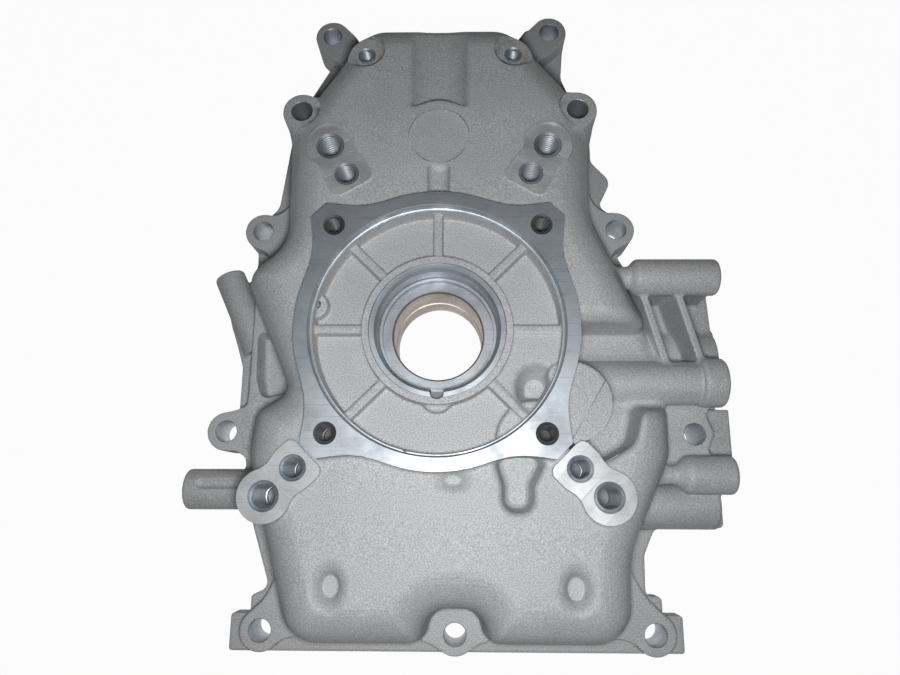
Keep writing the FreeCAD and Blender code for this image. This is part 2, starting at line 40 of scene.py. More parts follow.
from mathutils import Matrix, Vector

bl_info = {
    "name": "Crankcase cover",
    "version": (1, 0, 0),
    "blender": (4, 5, 0),
    "location": "View3D > Sidebar > Cover",
    "description": "Builds a die-cast engine cover with its machined faces, tapped holes and stage",
    "category": "Object",
}

# The solid in model.glb that the casting stands for, and millimetres in metres
NODE = "crankcase_cover"
MM = 0.001

# Levels of the casting above its mating face, in millimetres
FLANGE_Z = 10.0
EAR_Z = 20.0
TOP_Z = 56.0
TOP_SLOPE = 1.0
WALL = 4.8
DRAFT = 8.0
SHELL_LEVEL = 42.0
TOP_ROUND = 7.5
SHOULDER_DRAFT = 31.0
KNEE_ROUND = 1.5
CAVITY_ROUND = 4.0

# Power take-off ring, recess, webs and hub
RING_Z = 62.0
RING_OUTER_R = 60.0
RING_INNER_R = 54.0
RING_FILLET = 1.5
FACE_METAL = 1.2
RECESS_Z = 50.0
RECESS_FLOOR_R = 52.3
RECESS_DRAFT = 5.0
RAISED_FLOOR_Z = 54.2
RAISED_FLOOR_ANGLES = (-45.0, 0.0)
RECESS_FUNNEL = (41.8, -25.0, 4.4, 5.0, 1.7, 43.5)
FUNNEL_BOSS_R = 10.0
RECESS_DISC = (41.0, -46.3, 18.4, 52.8)
RECESS_POST = (51.4, -19.6, 5.8, 55.2)
CORNER_BOSS = (-53.0, 10.8, 6.4, 54.4)
CORNER_BOSS_HOLE = (-52.6, 11.2, 2.2)
HUB_BUMP = (0.0, -28.4, 7.0)
DRAIN_HOLE = (0.0, -27.2, 3.0)
PILOT_R = 73.0
LOBE_ANGLES = (45.0, 135.0, 225.0, 315.0)
LOBE_SPREAD = 27.0
LOBE_FLARE_R = 36.0
LOBE_TIP_HALF = 4.6
LOBE_HOLE_R = 63.3
LOBE_TAP = (3.9, 16.0, 1.25)
LOBE_POST_R = 8.4
WEB_COUNT = 7
WEB_FIRST = -45.0
WEB_STEP = 45.0
WEB_WIDTH = 3.6
WEB_Z = 55.0
RIB_COUNT = 8
RIB_END_R = 66.0
RIB_Z = 24.0
RIB_END_Z = 43.0
RIB_HALF = 2.0
HUB_Z = 56.6
HUB_R = 32.5
HUB_STEP_R = 29.2
HUB_STEP_Z = 55.4
HUB_LIP_R = 27.2
SEAL_R = 26.0
SEAL_STEP_Z = 46.0
SEAT_R = 24.5
SEAT_Z = 42.6
BORE_R = 19.75
BORE_GROOVE_Z = 26.0
BEARING_R = 28.0
BEARING_Z = 13.2

# Mounting pads on their two bolt circles
PAD_Z = 56.6
INNER_CIRCLE_R = 82.55
OUTER_CIRCLE_R = 98.425
INNER_LOBE_R = 9.8
OUTER_LOBE_R = 11.0
UPPER_ANGLES = (60.0, 120.0)
LOWER_ANGLES = (-45.0, 225.0)
PAD_FLAT_REACH = 8.0
PAD_CORNER_R = 3.5
PAD_NECK_R = 5.0
PAD_RAISE = 1.0
PAD_LINES = (-4.2, 3.2, 8.7, 14.4, 21.6)
PAD_TAP_DEPTH = 24.0
PAD_TAPS = ((INNER_CIRCLE_R, 4.75, 1.588), (OUTER_CIRCLE_R, 5.55, 1.814))
PAD_POST_R = 10.0
TAP_WALL = 4.5
THREAD_DEPTH = 0.62

# Bolt holes: x, y of each
EAR_R = 9.0
BOLT_R = 4.85
BOTTOM_LEFT = (-77.7, -126.7)
BOTTOM_MID = (7.5, -127.8)
BOTTOM_RIGHT = (94.4, -127.5)
LEFT_LOW = (-99.1, -40.3)
LEFT_HIGH = (-88.3, 58.8)
RIGHT_HIGH = (86.5, 59.3)
RIGHT_LOW = (114.9, -41.7)
TOP_LEFT = (-58.4, 169.2)
TOP_RIGHT = (56.6, 170.9)
SHOULDERS = ((-64.0, 105.0), (64.0, 105.4))
SHOULDER_Z = 53.0
RIGHT_LOW_Z = 28.0
SMALL_BOSSES = ((-34.6, 134.0), (34.6, 134.0))
SMALL_BOSS_R = 8.5
SMALL_BOSS_Z = 53.0
SMALL_TAP_DEPTH = 20.0
SMALL_TAP_R = 3.4
SMALL_TAP_PITCH = 1.25

# Low ears: hole, direction of the tip, length back to the wall, half width at the wall
EARS = (
    (BOTTOM_LEFT, 222.0, 26.0, 9.0), (BOTTOM_MID, 270.0, 16.0, 9.0),
    (BOTTOM_RIGHT, 318.0, 26.0, 9.0), (LEFT_LOW, 185.0, 18.0, 18.0),
    (LEFT_HIGH, 165.0, 18.0, 20.0), (RIGHT_HIGH, 12.0, 16.0, 20.0),
    (TOP_LEFT, 134.0, 22.0, 6.0), (TOP_RIGHT, 46.0, 22.0, 6.0),
)
EAR_NECK = 0.4
EAR_NECK_R = 22.0
EAR_FLARE = 12.0

# Camshaft housing
CAM_Y = 90.0
CAM_DISC_R = 13.7
CAM_DISC_DEPTH = 1.3
CAM_LAND_R = 18.5
CAM_BOSS_R = 15.0
CAM_BOSS_Z = 26.0
CAM_BORE_R = 10.0
CAM_BORE_TOP = 49.0
TROUGH_HALF = 13.2
TROUGH_DEPTH = 8.0
TROUGH_LEAN = 26.0
TROUGH_ROUND = 6.5
TROUGH_END_Y = 105.0
CHANNEL_WIDTH = 8.6
CHANNEL_DEPTH = 4.2

# Galleries on the right: start x, axis y, axis z, radius, end x
TOP_GALLERY = (88.0, 29.0, 36.5, 8.4, 127.0)
COLLARED_GALLERY = (60.0, -19.5, 34.0, 8.6, 127.0)
SHORT_GALLERY = (106.0, -59.7, 29.5, 8.5, 130.0)
LOW_GALLERY = (92.0, -72.8, 12.5, 9.8, 127.0)
GALLERY_END_ROUND = 2.0
NECK_R = 4.2
COLLAR_X = 116.0
COLLAR_R = 11.0
GALLERY_BORE_R = 4.0
GALLERY_BORE_DEPTH = 26.0
STRUT_WIDTH = 3.2
STRUT_Z = 37.0
STRUT_LEAN = 12.7
STRUT_X = (89.7, 105.6)
PUMP = (56.5, -30.3)
PUMP_R = 17.2
PUMP_Z = 52.0
PUMP_STEP = ((72.4, -19.3), (56.1, -46.6))
PUMP_STEP_DEPTH = 0.6
PUMP_RING_R = 6.6

# Outlines: x, y and corner radius, counter-clockwise, in millimetres
SHELL = (
    (-60.0, -127.5, 15.0), (-7.5, -127.5, 5.0), (-5.0, -113.8, 11.0), (20.0, -113.8, 11.0),
    (22.5, -127.5, 5.0), (79.0, -127.5, 15.0), (80.0, -93.0, 40.0), (99.0, -52.0, 14.0),
    (99.0, -10.0, 14.0), (69.0, 57.0, 30.0), (70.5, 109.0, 18.0), (35.0, 153.5, 20.0),
    (-37.0, 153.5, 20.0), (-71.0, 100.0, 18.0), (-69.5, 44.0, 20.0), (-88.0, 28.0, 10.0),
    (-64.5, -25.0, 7.0), (-79.0, -34.0, 9.0), (-81.0, -52.0, 20.0),
)
FLANGE = (
    (-94.0, -137.0, 1.5), (109.5, -137.0, 1.5), (109.5, -121.0, 1.5), (100.7, -121.0, 1.0),
    (100.7, -113.0, 2.0), (93.5, -113.0, 3.0), (94.0, -95.0, 6.0), (99.5, -83.0, 2.0),
    (131.0, -83.0, 2.0), (131.0, -51.5, 1.0), (136.0, -51.5, 1.0), (136.0, -29.0, 1.0),
    (131.5, -29.0, 1.0), (133.5, 9.0, 3.0), (130.0, 14.0, 3.0), (131.0, 37.0, 2.0),
    (95.0, 37.0, 2.0), (89.0, 48.0, 4.0), (89.0, 70.0, 6.0), (80.5, 76.0, 4.0),
    (87.5, 90.0, 6.0), (77.5, 101.0, 6.0), (77.5, 115.0, 6.0), (63.5, 150.0, 8.0),
    (65.5, 174.0, 6.0), (51.5, 178.0, 4.0), (46.0, 181.0, 3.0), (38.0, 170.0, 6.0),
    (22.0, 165.5, 12.0), (-22.0, 165.5, 12.0), (-52.0, 172.5, 6.0), (-65.5, 148.0, 12.0),
    (-78.0, 125.0, 10.0), (-84.0, 75.0, 10.0), (-94.0, 66.0, 6.0), (-93.0, 44.0, 6.0),
    (-104.0, 14.0, 8.0), (-97.0, -8.0, 8.0), (-97.0, -30.0, 6.0), (-92.0, -55.0, 8.0),
    (-87.0, -82.0, 8.0), (-77.5, -110.0, 4.0), (-85.3, -113.5, 1.5), (-85.3, -121.0, 1.0),
    (-94.0, -121.0, 1.5),
)
LEFT_RIM = (
    (-90.5, -50.0, 4.0), (-68.0, -50.0, 1.0), (-58.0, -25.0, 1.0), (-83.5, 14.0, 1.0),
    (-90.0, 27.0, 0.5), (-90.0, -14.0, 30.0),
)
LEFT_POCKET = (
    (-83.0, -24.0, 3.0), (-70.5, -20.5, 4.0), (-82.0, 6.0, 2.0), (-86.3, 6.0, 1.8),
    (-85.5, -15.0, 4.0),
)
LEFT_POCKET_Z = 9.0
BOLT_PLATE = (
    (94.0, -56.0, 0.5), (122.5, -54.0, 0.5), (120.5, -48.5, 3.0), (123.8, -41.5, 5.0),
    (120.5, -33.5, 3.0), (123.5, -28.0, 0.5), (94.0, -26.0, 0.5),
)
STEP_PLATE = ((94.0, -51.5, 0.5), (136.0, -51.5, 0.5), (136.0, -29.0, 0.5), (94.0, -29.0, 0.5))
STEP_PLATE_Z = 15.0
HIGH_PLATE = ((86.0, -4.0, 0.5), (132.0, -4.0, 0.5), (130.5, 30.0, 0.5), (86.0, 32.0, 0.5))
HIGH_PLATE_Z = 13.0
STEP_BAR = ((88.0, -4.5), (132.0, -4.5), 5.0, 14.8)
UPPER_POCKET = ((48.0, -12.0, 1.0), (98.0, -12.0, 1.0), (94.0, 2.3, 2.0), (48.0, 2.3, 2.0))
UPPER_POCKET_Z = 33.5
GALLERY_POCKET = ((48.0, -30.0, 1.0), (112.0, -30.0, 1.0), (112.0, -9.5, 1.0), (48.0, -9.5, 1.0))
LOWER_POCKET = (
    (56.0, -54.0, 4.0), (69.5, -53.5, 6.0), (80.5, -47.0, 9.0), (83.5, -36.0, 8.0),
    (83.5, -20.0, 1.0), (56.0, -20.0, 2.0),
)
LOWER_POCKET_Z = 36.5
GALLERY_POCKET_Z = 35.0
KEYHOLE = (
    (28.8, -73.9, 3.6), (37.9, -73.9, 3.6), (38.0, -64.6, 5.0), (42.0, -57.0, 2.0),
    (42.0, -50.0, 1.0), (26.0, -50.0, 1.0), (26.4, -57.0, 2.0), (28.8, -64.6, 5.0),
)
KEYHOLE_Z = 44.0
POCKET_DRAFT = 14.0

# Dimples: x, y, half width and half height of the floor, slope of the wall, level of the floor
DIMPLES = (
    (-42.3, -104.7, 3.2, 4.2, 1.9, 48.4), (56.2, -105.2, 3.4, 4.5, 1.9, 48.4),
    (7.0, -63.0, 3.4, 2.2, 2.1, 51.6),
)

# Left side
LEFT_GALLERY = ((-116.5, -66.5), (-66.0, -66.5), 14.0, 9.2)
LEFT_GROOVE = ((-108.0, -64.0), (-84.0, -64.0), 23.6, 2.4)
LEFT_TUBE = ((-107.0, 38.5), (-89.0, 0.0), 9.0, 7.4)

# Grid on which the casting is shaped
GRID_LOW = (-119.4, -140.4, -3.0)
GRID_HIGH = (139.2, 184.8, 66.0)
FAR = 1000.0
CUTTER_TOP = 72.0
KEEP_TOP = 70.0
HALVINGS = 18


class CoverSizes(bpy.types.PropertyGroup):
    """Sizes of the casting that a user would change."""

    step: bpy.props.FloatProperty(
        name="Grid step", description="Spacing of the grid that the casting is shaped on, in mm",
        default=0.6, min=0.3, max=2.0,
    )
    fillet: bpy.props.FloatProperty(
        name="Cast fillet", description="Radius where one cast form runs into another, in mm",
        default=3.5, min=0.0, max=10.0,
    )
    edge: bpy.props.FloatProperty(
        name="Cast edge", description="Radius on the outer edges of cast forms, in mm",
        default=1.0, min=0.0, max=4.0,
    )
    flat_share: bpy.props.FloatProperty(
        name="Flat reduction", description="How far flat stretches of the mesh are thinned",
        default=0.012, min=0.0, max=1.0,
    )
    triangle_goal: bpy.props.IntProperty(
        name="Triangles", description="About how many triangles the cast surface keeps",
        default=112000, min=10000,
    )


class CoverColours(bpy.types.PropertyGroup):
    """Colours of the metal and the stage."""

    cast: bpy.props.FloatVectorProperty(
        name="Cast surface", description="Base colour of the blasted casting", subtype="COLOR",
        size=4, default=(0.52, 0.532, 0.54, 1.0), min=0.0, max=1.0,
    )
    machined: bpy.props.FloatVectorProperty(
        name="Machined surface", description="Base colour of turned and milled faces", subtype="COLOR",
        size=4, default=(0.54, 0.555, 0.57, 1.0), min=0.0, max=1.0,
    )
    floor: bpy.props.FloatVectorProperty(
        name="Floor", description="Colour of the floor and the surroundings", subtype="COLOR",
        size=4, default=(0.25, 0.25, 0.25, 1.0), min=0.0, max=1.0,
    )


class CoverStage(bpy.types.PropertyGroup):
    """Camera and lights."""

    lens: bpy.props.FloatProperty(
        name="Lens", description="Focal length on a sensor 36 mm wide",
        default=27.45, min=10.0, unit="CAMERA",
    )
    camera_place: bpy.props.FloatVectorProperty(
        name="Camera place", description="Where the camera stands", subtype="TRANSLATION", size=3,
        default=(0.01043, -0.06973, 0.33899), unit="LENGTH",
    )
    camera_turn: bpy.props.FloatVectorProperty(
        name="Camera turn", description="How the camera is turned", subtype="EULER", size=3,
        default=(radians(13.11), radians(0.95), radians(0.26)), unit="ROTATION",
    )
    key_power: bpy.props.FloatProperty(
        name="Key light", description="Power of the soft light close to the camera",
        default=0.66, unit="POWER",
    )
    world_strength: bpy.props.FloatProperty(
        name="Surroundings", description="Strength of the even light from all round", default=0.02, min=0.0,
    )


def sizes():
    return bpy.context.scene.cover_sizes


def colours():
    return bpy.context.scene.cover_colours


def stage_values():
    return bpy.context.scene.cover_stage


def polar(radius, angle):
    return radius * cos(radians(angle)), radius * sin(radians(angle))


def top_at(y):
    """Height of the cast top at y."""
    return TOP_Z + y * tan(radians(TOP_SLOPE))


# Distances: each shape below gives the distance to its surface in millimetres, negative inside

def joined(a, b, radius):
    """Distance to the union of two shapes, with a fillet of a radius in their corner."""
    if radius <= 0.0:
        return np.minimum(a, b)
    corner = np.sqrt(np.maximum(radius - a, 0.0) ** 2 + np.maximum(radius - b, 0.0) ** 2)
    return np.maximum(np.minimum(a, b), radius) - corner


def common(a, b, radius):
    """Distance to what two shapes share, with their edge rounded to a radius."""
    return -joined(-a, -b, radius)


def rounded_outline(points):
    """Corner points x, y, radius as a closed run of plain points, with arcs in short steps."""
    run = []
    for index, (x, y, radius) in enumerate(points):
        here = Vector((x, y))
        incoming = (here - Vector(points[index - 1][:2])).normalized()
        outgoing = (Vector(points[(index + 1) % len(points)][:2]) - here).normalized()
        turn = atan2(incoming.x * outgoing.y - incoming.y * outgoing.x, incoming.dot(outgoing))
        count = int(ceil(abs(degrees(turn)) / 9.0))
        if radius == 0.0 or count < 2:
            run.append((x, y))
            continue
        start = here - incoming * radius * abs(tan(turn / 2))
        side = 1.0 if turn > 0 else -1.0
        centre = start + Vector((-incoming.y, incoming.x)) * radius * side
        for number in range(count + 1):
            arm = Matrix.Rotation(turn * number / count, 2) @ (start - centre)
            run.append(tuple(centre + arm))
    return run


def plan_distance(points, x, y):
    """Distance in the plane to a closed outline, on a grid of x and y."""
    run = np.array(rounded_outline(points), np.float32)
    best = np.full((x.size, y.size), FAR * FAR, np.float32)
    inside = np.zeros((x.size, y.size), bool)
    px, py = x.reshape(-1, 1), y.reshape(1, -1)
    for (ax, ay), (bx, by) in zip(run, np.roll(run, -1, 0)):
        ex, ey = bx - ax, by - ay
        length = max(ex * ex + ey * ey, 1e-9)
        along = np.clip(((px - ax) * ex + (py - ay) * ey) / length, 0.0, 1.0)
        best = np.minimum(best, (px - ax - along * ex) ** 2 + (py - ay - along * ey) ** 2)
        if ey != 0.0:
            inside ^= ((ay > py) != (by > py)) & (px < ax + (py - ay) * ex / ey)
    return (np.where(inside, -1.0, 1.0) * np.sqrt(best)).astype(np.float32)[:, :, None]


def traced(plan, x0, y0, reach, count=120):
    """Outline of a plan shape, found along rays from a point inside it."""
    run = []
    for number in range(count):
        angle = 2 * pi * number / count
        near, far = 0.0, reach
        for _ in range(HALVINGS):
            middle = (near + far) / 2
            if plan(x0 + middle * cos(angle), y0 + middle * sin(angle)) < 0.0:
                near = middle
            else:
                far = middle
        run.append((x0 + near * cos(angle), y0 + near * sin(angle)))
    return run


def pad_plan(out, aside):
    """Distance in the plane to a double pad's outline; its inner hole is at the origin."""
    inner = np.sqrt(np.maximum(out, 0.0) ** 2 + aside * aside) - INNER_LOBE_R
    inner = common(inner, -PAD_FLAT_REACH - out, PAD_CORNER_R)
    outer = np.sqrt((out - OUTER_CIRCLE_R + INNER_CIRCLE_R) ** 2 + aside * aside) - OUTER_LOBE_R
    return joined(inner, outer, PAD_NECK_R)


def straight(start, end):
    """Start, direction and length of a straight run in the plane."""
    a = Vector(start)
    run = Vector(end) - a
    length = run.length
    return a, run.normalized(), length


def box_round(start, end, reach, bottom, top):
    """Lowest and highest corner of the box round a run in the plane."""
    low = (min(start[0], end[0]) - reach, min(start[1], end[1]) - reach, bottom)
    high = (max(start[0], end[0]) + reach, max(start[1], end[1]) + reach, top)
    return low, high


class Form:
    """A shape as a function that gives distances, with the box that holds it."""

    def __init__(self, distance, low, high):
        self.distance = distance
        self.low = low
        self.high = high


def prism(points, bottom, top, draft=0.0, level=None, edge=0.0, foot=0.0):
    """An upright solid on an outline given at a level, with leaning walls and rounded edges."""
    slope = tan(radians(draft))
    level = bottom if level is None else level

    def distance(x, y, z):
        wall = (plan_distance(points, x, y) + (z - level) * slope) * cos(radians(draft))
        body = common(wall, z - top, edge)
        return common(body, bottom - z, foot)

    spread = max(0.0, (level - bottom) * slope, (level - top) * slope)
    xs = [point[0] for point in points]
    ys = [point[1] for point in points]
    low = (min(xs) - spread, min(ys) - spread, bottom)
    return Form(distance, low, (max(xs) + spread, max(ys) + spread, top))


def column(x0, y0, radius, bottom, top, draft=0.0, edge=0.0, foot=0.0):
    """A round upright solid, with its radius given at the bottom."""
    slope = tan(radians(draft))

    def distance(x, y, z):
        wall = np.sqrt((x - x0) ** 2 + (y - y0) ** 2) - radius + (z - bottom) * slope
        body = common(wall * cos(radians(draft)), z - top, edge)
        return common(body, bottom - z, foot)

    reach = max(radius, radius - (top - bottom) * slope)
    return Form(distance, (x0 - reach, y0 - reach, bottom), (x0 + reach, y0 + reach, top))


def bar(start, end, axis_z, radius, edge=0.8, end_z=None):
    """A round bar between two points x, y, on a level or slanting axis."""
    a = np.array((start[0], start[1], axis_z), np.float32)
    b = np.array((end[0], end[1], axis_z if end_z is None else end_z), np.float32)
    length = float(np.linalg.norm(b - a))
    run = (b - a) / length

    def distance(x, y, z):
        along = (x - a[0]) * run[0] + (y - a[1]) * run[1] + (z - a[2]) * run[2]
        whole = (x - a[0]) ** 2 + (y - a[1]) ** 2 + (z - a[2]) ** 2
        aside = np.sqrt(np.maximum(whole - along * along, 0.0)) - radius
        ends = np.abs(along - length / 2) - length / 2
        return common(aside, ends, edge)

    low = np.minimum(a, b) - radius
    high = np.maximum(a, b) + radius
    return Form(distance, low, high)


def wall_between(start, end, half, bottom, top, draft=2.0, edge=1.0, end_top=None):
    """A straight upright web of a half width at its top, whose top may slope."""
    a, run, length = straight(start, end)
    last = top if end_top is None else end_top

    def distance(x, y, z):
        along = (x - a.x) * run.x + (y - a.y) * run.y
        height = top + (last - top) * np.clip(along / length, 0.0, 1.0)
        aside = np.abs((y - a.y) * run.x - (x - a.x) * run.y) - half
        aside = aside - (height - z) * tan(radians(draft))
        ends = np.abs(along - length / 2) - length / 2
        body = common(aside, z - height, edge)
        return np.maximum(np.maximum(body, ends), bottom - z)

    return Form(distance, *box_round(start, end, half + 2.0, bottom, max(top, last)))


def capsule(start, end, axis_z, radius):
    """A round-ended bar on a level axis."""
    a, run, length = straight(start, end)

    def distance(x, y, z):
        along = np.clip((x - a.x) * run.x + (y - a.y) * run.y, 0.0, length)
        return np.sqrt((x - a.x - along * run.x) ** 2 + (y - a.y - along * run.y) ** 2
                       + (z - axis_z) ** 2) - radius

    return Form(distance, *box_round(start, end, radius, axis_z - radius, axis_z + radius))


def funnel(x0, y0, half_x, half_y, slope, floor):
    """An oval hollow that spreads as it rises."""
    size = (half_x + half_y) / 2

    def distance(x, y, z):
        oval = np.sqrt(((x - x0) / half_x) ** 2 + ((y - y0) / half_y) ** 2) * size
        rise = z - floor
        wall = (oval - size - rise * 0.5) / slope * 1.6
        return common(wall, floor - z, 0.4)

    reach = 26.0
    return Form(distance, (x0 - reach, y0 - reach, floor), (x0 + reach, y0 + reach, TOP_Z + 4.0))


class Block:
    """A solid held as distances on a regular grid."""

    def __init__(self):
        step = sizes().step
        self.step = step
        axes = [np.arange(low, high, step, dtype=np.float32) for low, high in zip(GRID_LOW, GRID_HIGH)]
        self.axes = axes
        self.field = np.full([axis.size for axis in axes], FAR, np.float32)

    def window(self, form, margin):
        """The part of the grid round a form, and its coordinates."""
        cuts, places = [], []
        for number, axis in enumerate(self.axes):
            first = int(np.searchsorted(axis, form.low[number] - margin))
            last = int(np.searchsorted(axis, form.high[number] + margin))
            cuts.append(slice(first, max(last, first + 1)))
            shape = [1, 1, 1]
            shape[number] = -1
            places.append(axis[cuts[-1]].reshape(shape))
        return tuple(cuts), places

    def add(self, form, fillet=0.0):
        cuts, places = self.window(form, fillet + 4 * self.step)
        self.field[cuts] = joined(self.field[cuts], form.distance(*places), fillet)

    def cut(self, form, edge=0.0):
        cuts, places = self.window(form, edge + 4 * self.step)
        self.field[cuts] = common(self.field[cuts], -form.distance(*places), edge)

    def gradient(self, points):
        """Unit outward directions at points in millimetres."""
        found = np.zeros_like(points)
        for number in range(3):
            ahead, behind = points.copy(), points.copy()
            ahead[:, number] += self.step
            behind[:, number] -= self.step
            found[:, number] = self.sample(ahead) - self.sample(behind)
        length = np.linalg.norm(found, axis=1, keepdims=True)
        return found / np.maximum(length, 1e-9)

    def sample(self, points):
        """Distances at any points, between the points of the grid."""
        places = (points - np.array([axis[0] for axis in self.axes])) / self.step
        limit = np.array(self.field.shape) - 2
        whole = np.clip(np.floor(places).astype(int), 0, limit)
        share = np.clip(places - whole, 0.0, 1.0)
        total = np.zeros(len(points))
        for corner in range(8):
            bits = np.array([(corner >> bit) & 1 for bit in range(3)])
            weight = np.prod(np.where(bits, share, 1.0 - share), axis=1)
            x, y, z = (whole + bits).T
            total += weight * self.field[x, y, z]
        return total

    def mesh(self, name):
        """The surface as a closed mesh in metres."""
        reach = 3 * self.step
        grid = openvdb.FloatGrid(reach)
        grid.copyFromArray(np.clip(self.field, -reach, reach))
        places, triangles, quads = grid.convertToPolygons(0.0, sizes().flat_share)
        places = places * self.step + np.array([axis[0] for axis in self.axes])
        faces = [tuple(face[::-1]) for face in triangles] + [tuple(face[::-1]) for face in quads]
        made = bpy.data.meshes.new(name)
        made.from_pydata(places * MM, [], faces)
        made.update()
        return made


def shell_form(inset=0.0, top_drop=0.0, round_radius=TOP_ROUND):
    """The drafted body of the cover, or the same moved inwards."""
    slope = tan(radians(DRAFT))
    lean = radians(SHOULDER_DRAFT)

    def distance(x, y, z):
        plan = plan_distance(SHELL, x, y) + inset
        wall = (plan + (z - SHELL_LEVEL) * slope) * cos(radians(DRAFT))
        shoulder = (plan + (z - SHELL_LEVEL) * tan(lean)) * cos(lean)
        wall = common(wall, shoulder, KNEE_ROUND)
        top = (z + top_drop - TOP_Z - y * tan(radians(TOP_SLOPE))) * cos(radians(TOP_SLOPE))
        return common(wall, top, round_radius)

    low = (GRID_LOW[0], GRID_LOW[1], -FAR)
    return Form(distance, low, (GRID_HIGH[0], GRID_HIGH[1], FAR))


def ear_outline(hole, towards, reach, spread):
    """Corner points of the neck behind an ear's round tip."""
    neck = reach * EAR_NECK
    points = (
        (-reach, spread, 0.0), (-reach, -spread, 0.0), (-neck, -EAR_R, EAR_NECK_R),
        (0.0, -EAR_R, 0.0), (0.0, EAR_R, 0.0), (-neck, EAR_R, EAR_NECK_R),
    )
    turn = Matrix.Rotation(radians(towards), 2)
    return [(*(turn @ Vector((x, y)) + Vector(hole)), radius) for x, y, radius in points]


def add_ears(block):
    """Low ears with flares that run out of the wall."""
    wall_level = (EAR_Z - SHELL_LEVEL) * tan(radians(DRAFT))
    for hole, towards, reach, spread in EARS:
        outline = ear_outline(hole, towards, reach, spread)

        def distance(x, y, z, hole=hole, outline=outline):
            tip = np.sqrt((x - hole[0]) ** 2 + (y - hole[1]) ** 2) - EAR_R
            tip = np.minimum(tip, plan_distance(outline, x, y))
            wall = plan_distance(SHELL, x, y) + wall_level
            plan = joined(tip, np.maximum(wall, 0.5), EAR_FLARE)
            return np.maximum(common(plan, z - EAR_Z, 0.7), -z)

        xs = [point[0] for point in outline] + [hole[0] - EAR_R, hole[0] + EAR_R]
        ys = [point[1] for point in outline] + [hole[1] - EAR_R, hole[1] + EAR_R]
        form = Form(distance, (min(xs) - 2.0, min(ys) - 2.0, 0.0), (max(xs) + 2.0, max(ys) + 2.0, EAR_Z))
        block.add(form, 0.8)


def add_ring(block):
    """Ring with its flaring lobes, left a little high for its face cut."""
    root_x, root_y = polar(RING_OUTER_R, LOBE_SPREAD)
    shoulder = RING_OUTER_R * tan(radians(LOBE_SPREAD / 2))
    points = (
        (HUB_R, 0.0, 0.0), (root_x, -root_y, 0.0), (RING_OUTER_R, -shoulder, LOBE_FLARE_R),
        (PILOT_R, -LOBE_TIP_HALF, 0.3), (PILOT_R, LOBE_TIP_HALF, 0.3),
        (RING_OUTER_R, shoulder, LOBE_FLARE_R), (root_x, root_y, 0.0),
    )
    top = RING_Z + FACE_METAL
    ring = Block()
    ring.add(column(0.0, 0.0, RING_OUTER_R, RECESS_Z - WALL, top))
    for angle in LOBE_ANGLES:
        turned = [
            (*(Matrix.Rotation(radians(angle), 2) @ Vector((x, y))), radius) for x, y, radius in points
        ]
        ring.add(prism(turned, RECESS_Z - WALL, top))
    block.field = joined(block.field, ring.field, RING_FILLET)


def add_galleries(block):
    """Oil galleries that leave the shell to the right, over walls down to the flange."""
    fillet = sizes().fillet
    for (start, y, z, radius, end), foot, inset in (
        (TOP_GALLERY, 1.5, 3.0), (COLLARED_GALLERY, 1.0, 0.0), (SHORT_GALLERY, 1.5, 5.0),
        (LOW_GALLERY, 0.0, 0.0),
    ):
        half = radius - foot
        outline = (
            (start + inset, y - half, inset), (end - foot, y - half, 1.0),
            (end - foot, y + half, 1.0), (start + inset, y + half, inset),
        )
        block.add(prism(outline, 0.0, z, edge=0.5), 1.5)
    for (start, y, z, radius, end), rounding in ((TOP_GALLERY, 3.0), (SHORT_GALLERY, 5.0)):
        block.add(bar((start, y), (end - rounding, y), z, radius, rounding), 1.5)
        block.add(bar((start + 2 * rounding, y), (end, y), z, radius, GALLERY_END_ROUND))
    start, y, z, radius, end = SHORT_GALLERY
    block.add(bar((88.0, y), (start + radius, y), z, NECK_R, 1.0), 3.0)
    start, y, z, radius, end = TOP_GALLERY
    block.add(bar((76.0, y), (start + radius, y), z, NECK_R + 0.8, 1.0), 2.5)
    for (start, y, z, radius, end), blend in ((COLLARED_GALLERY, 5.5), (LOW_GALLERY, fillet)):
        block.add(bar((start, y), (end, y), z, radius, GALLERY_END_ROUND), blend)
    y, z = COLLARED_GALLERY[1:3]
    block.add(bar((COLLAR_X, y), (COLLARED_GALLERY[4], y), z, COLLAR_R, GALLERY_END_ROUND), 0.6)
    for x in STRUT_X:
        top = (x + STRUT_WIDTH / 2, TOP_GALLERY[1])
        foot = (x + STRUT_LEAN + STRUT_WIDTH / 2, COLLARED_GALLERY[1])
        block.add(wall_between(top, foot, STRUT_WIDTH / 2, 0.0, STRUT_Z, 2.0, 0.4), 1.6)


def add_left_side(block):
    """Level gallery, slanting tube and the rim with its pocket."""
    start, end, z, radius = LEFT_GALLERY
    block.add(bar(start, end, z, radius, 1.4), 3.5)
    half = radius - 1.5
    outline = (
        (-106.0, start[1] - half, 1.0), (end[0], start[1] - half, 0.5), (end[0], start[1] + half, 0.5),
        (-106.0, start[1] + half, 1.0),
    )
    block.add(prism(outline, 0.0, z), 1.5)
    block.cut(capsule(*LEFT_GROOVE), 0.5)
    block.add(bar(*LEFT_TUBE, 1.0), 2.0)
    block.add(prism(LEFT_RIM, 0.0, EAR_Z, edge=0.7), 0.8)
    block.cut(prism(LEFT_POCKET, LEFT_POCKET_Z, EAR_Z + 12.0, draft=-6.0, foot=2.0), 0.7)


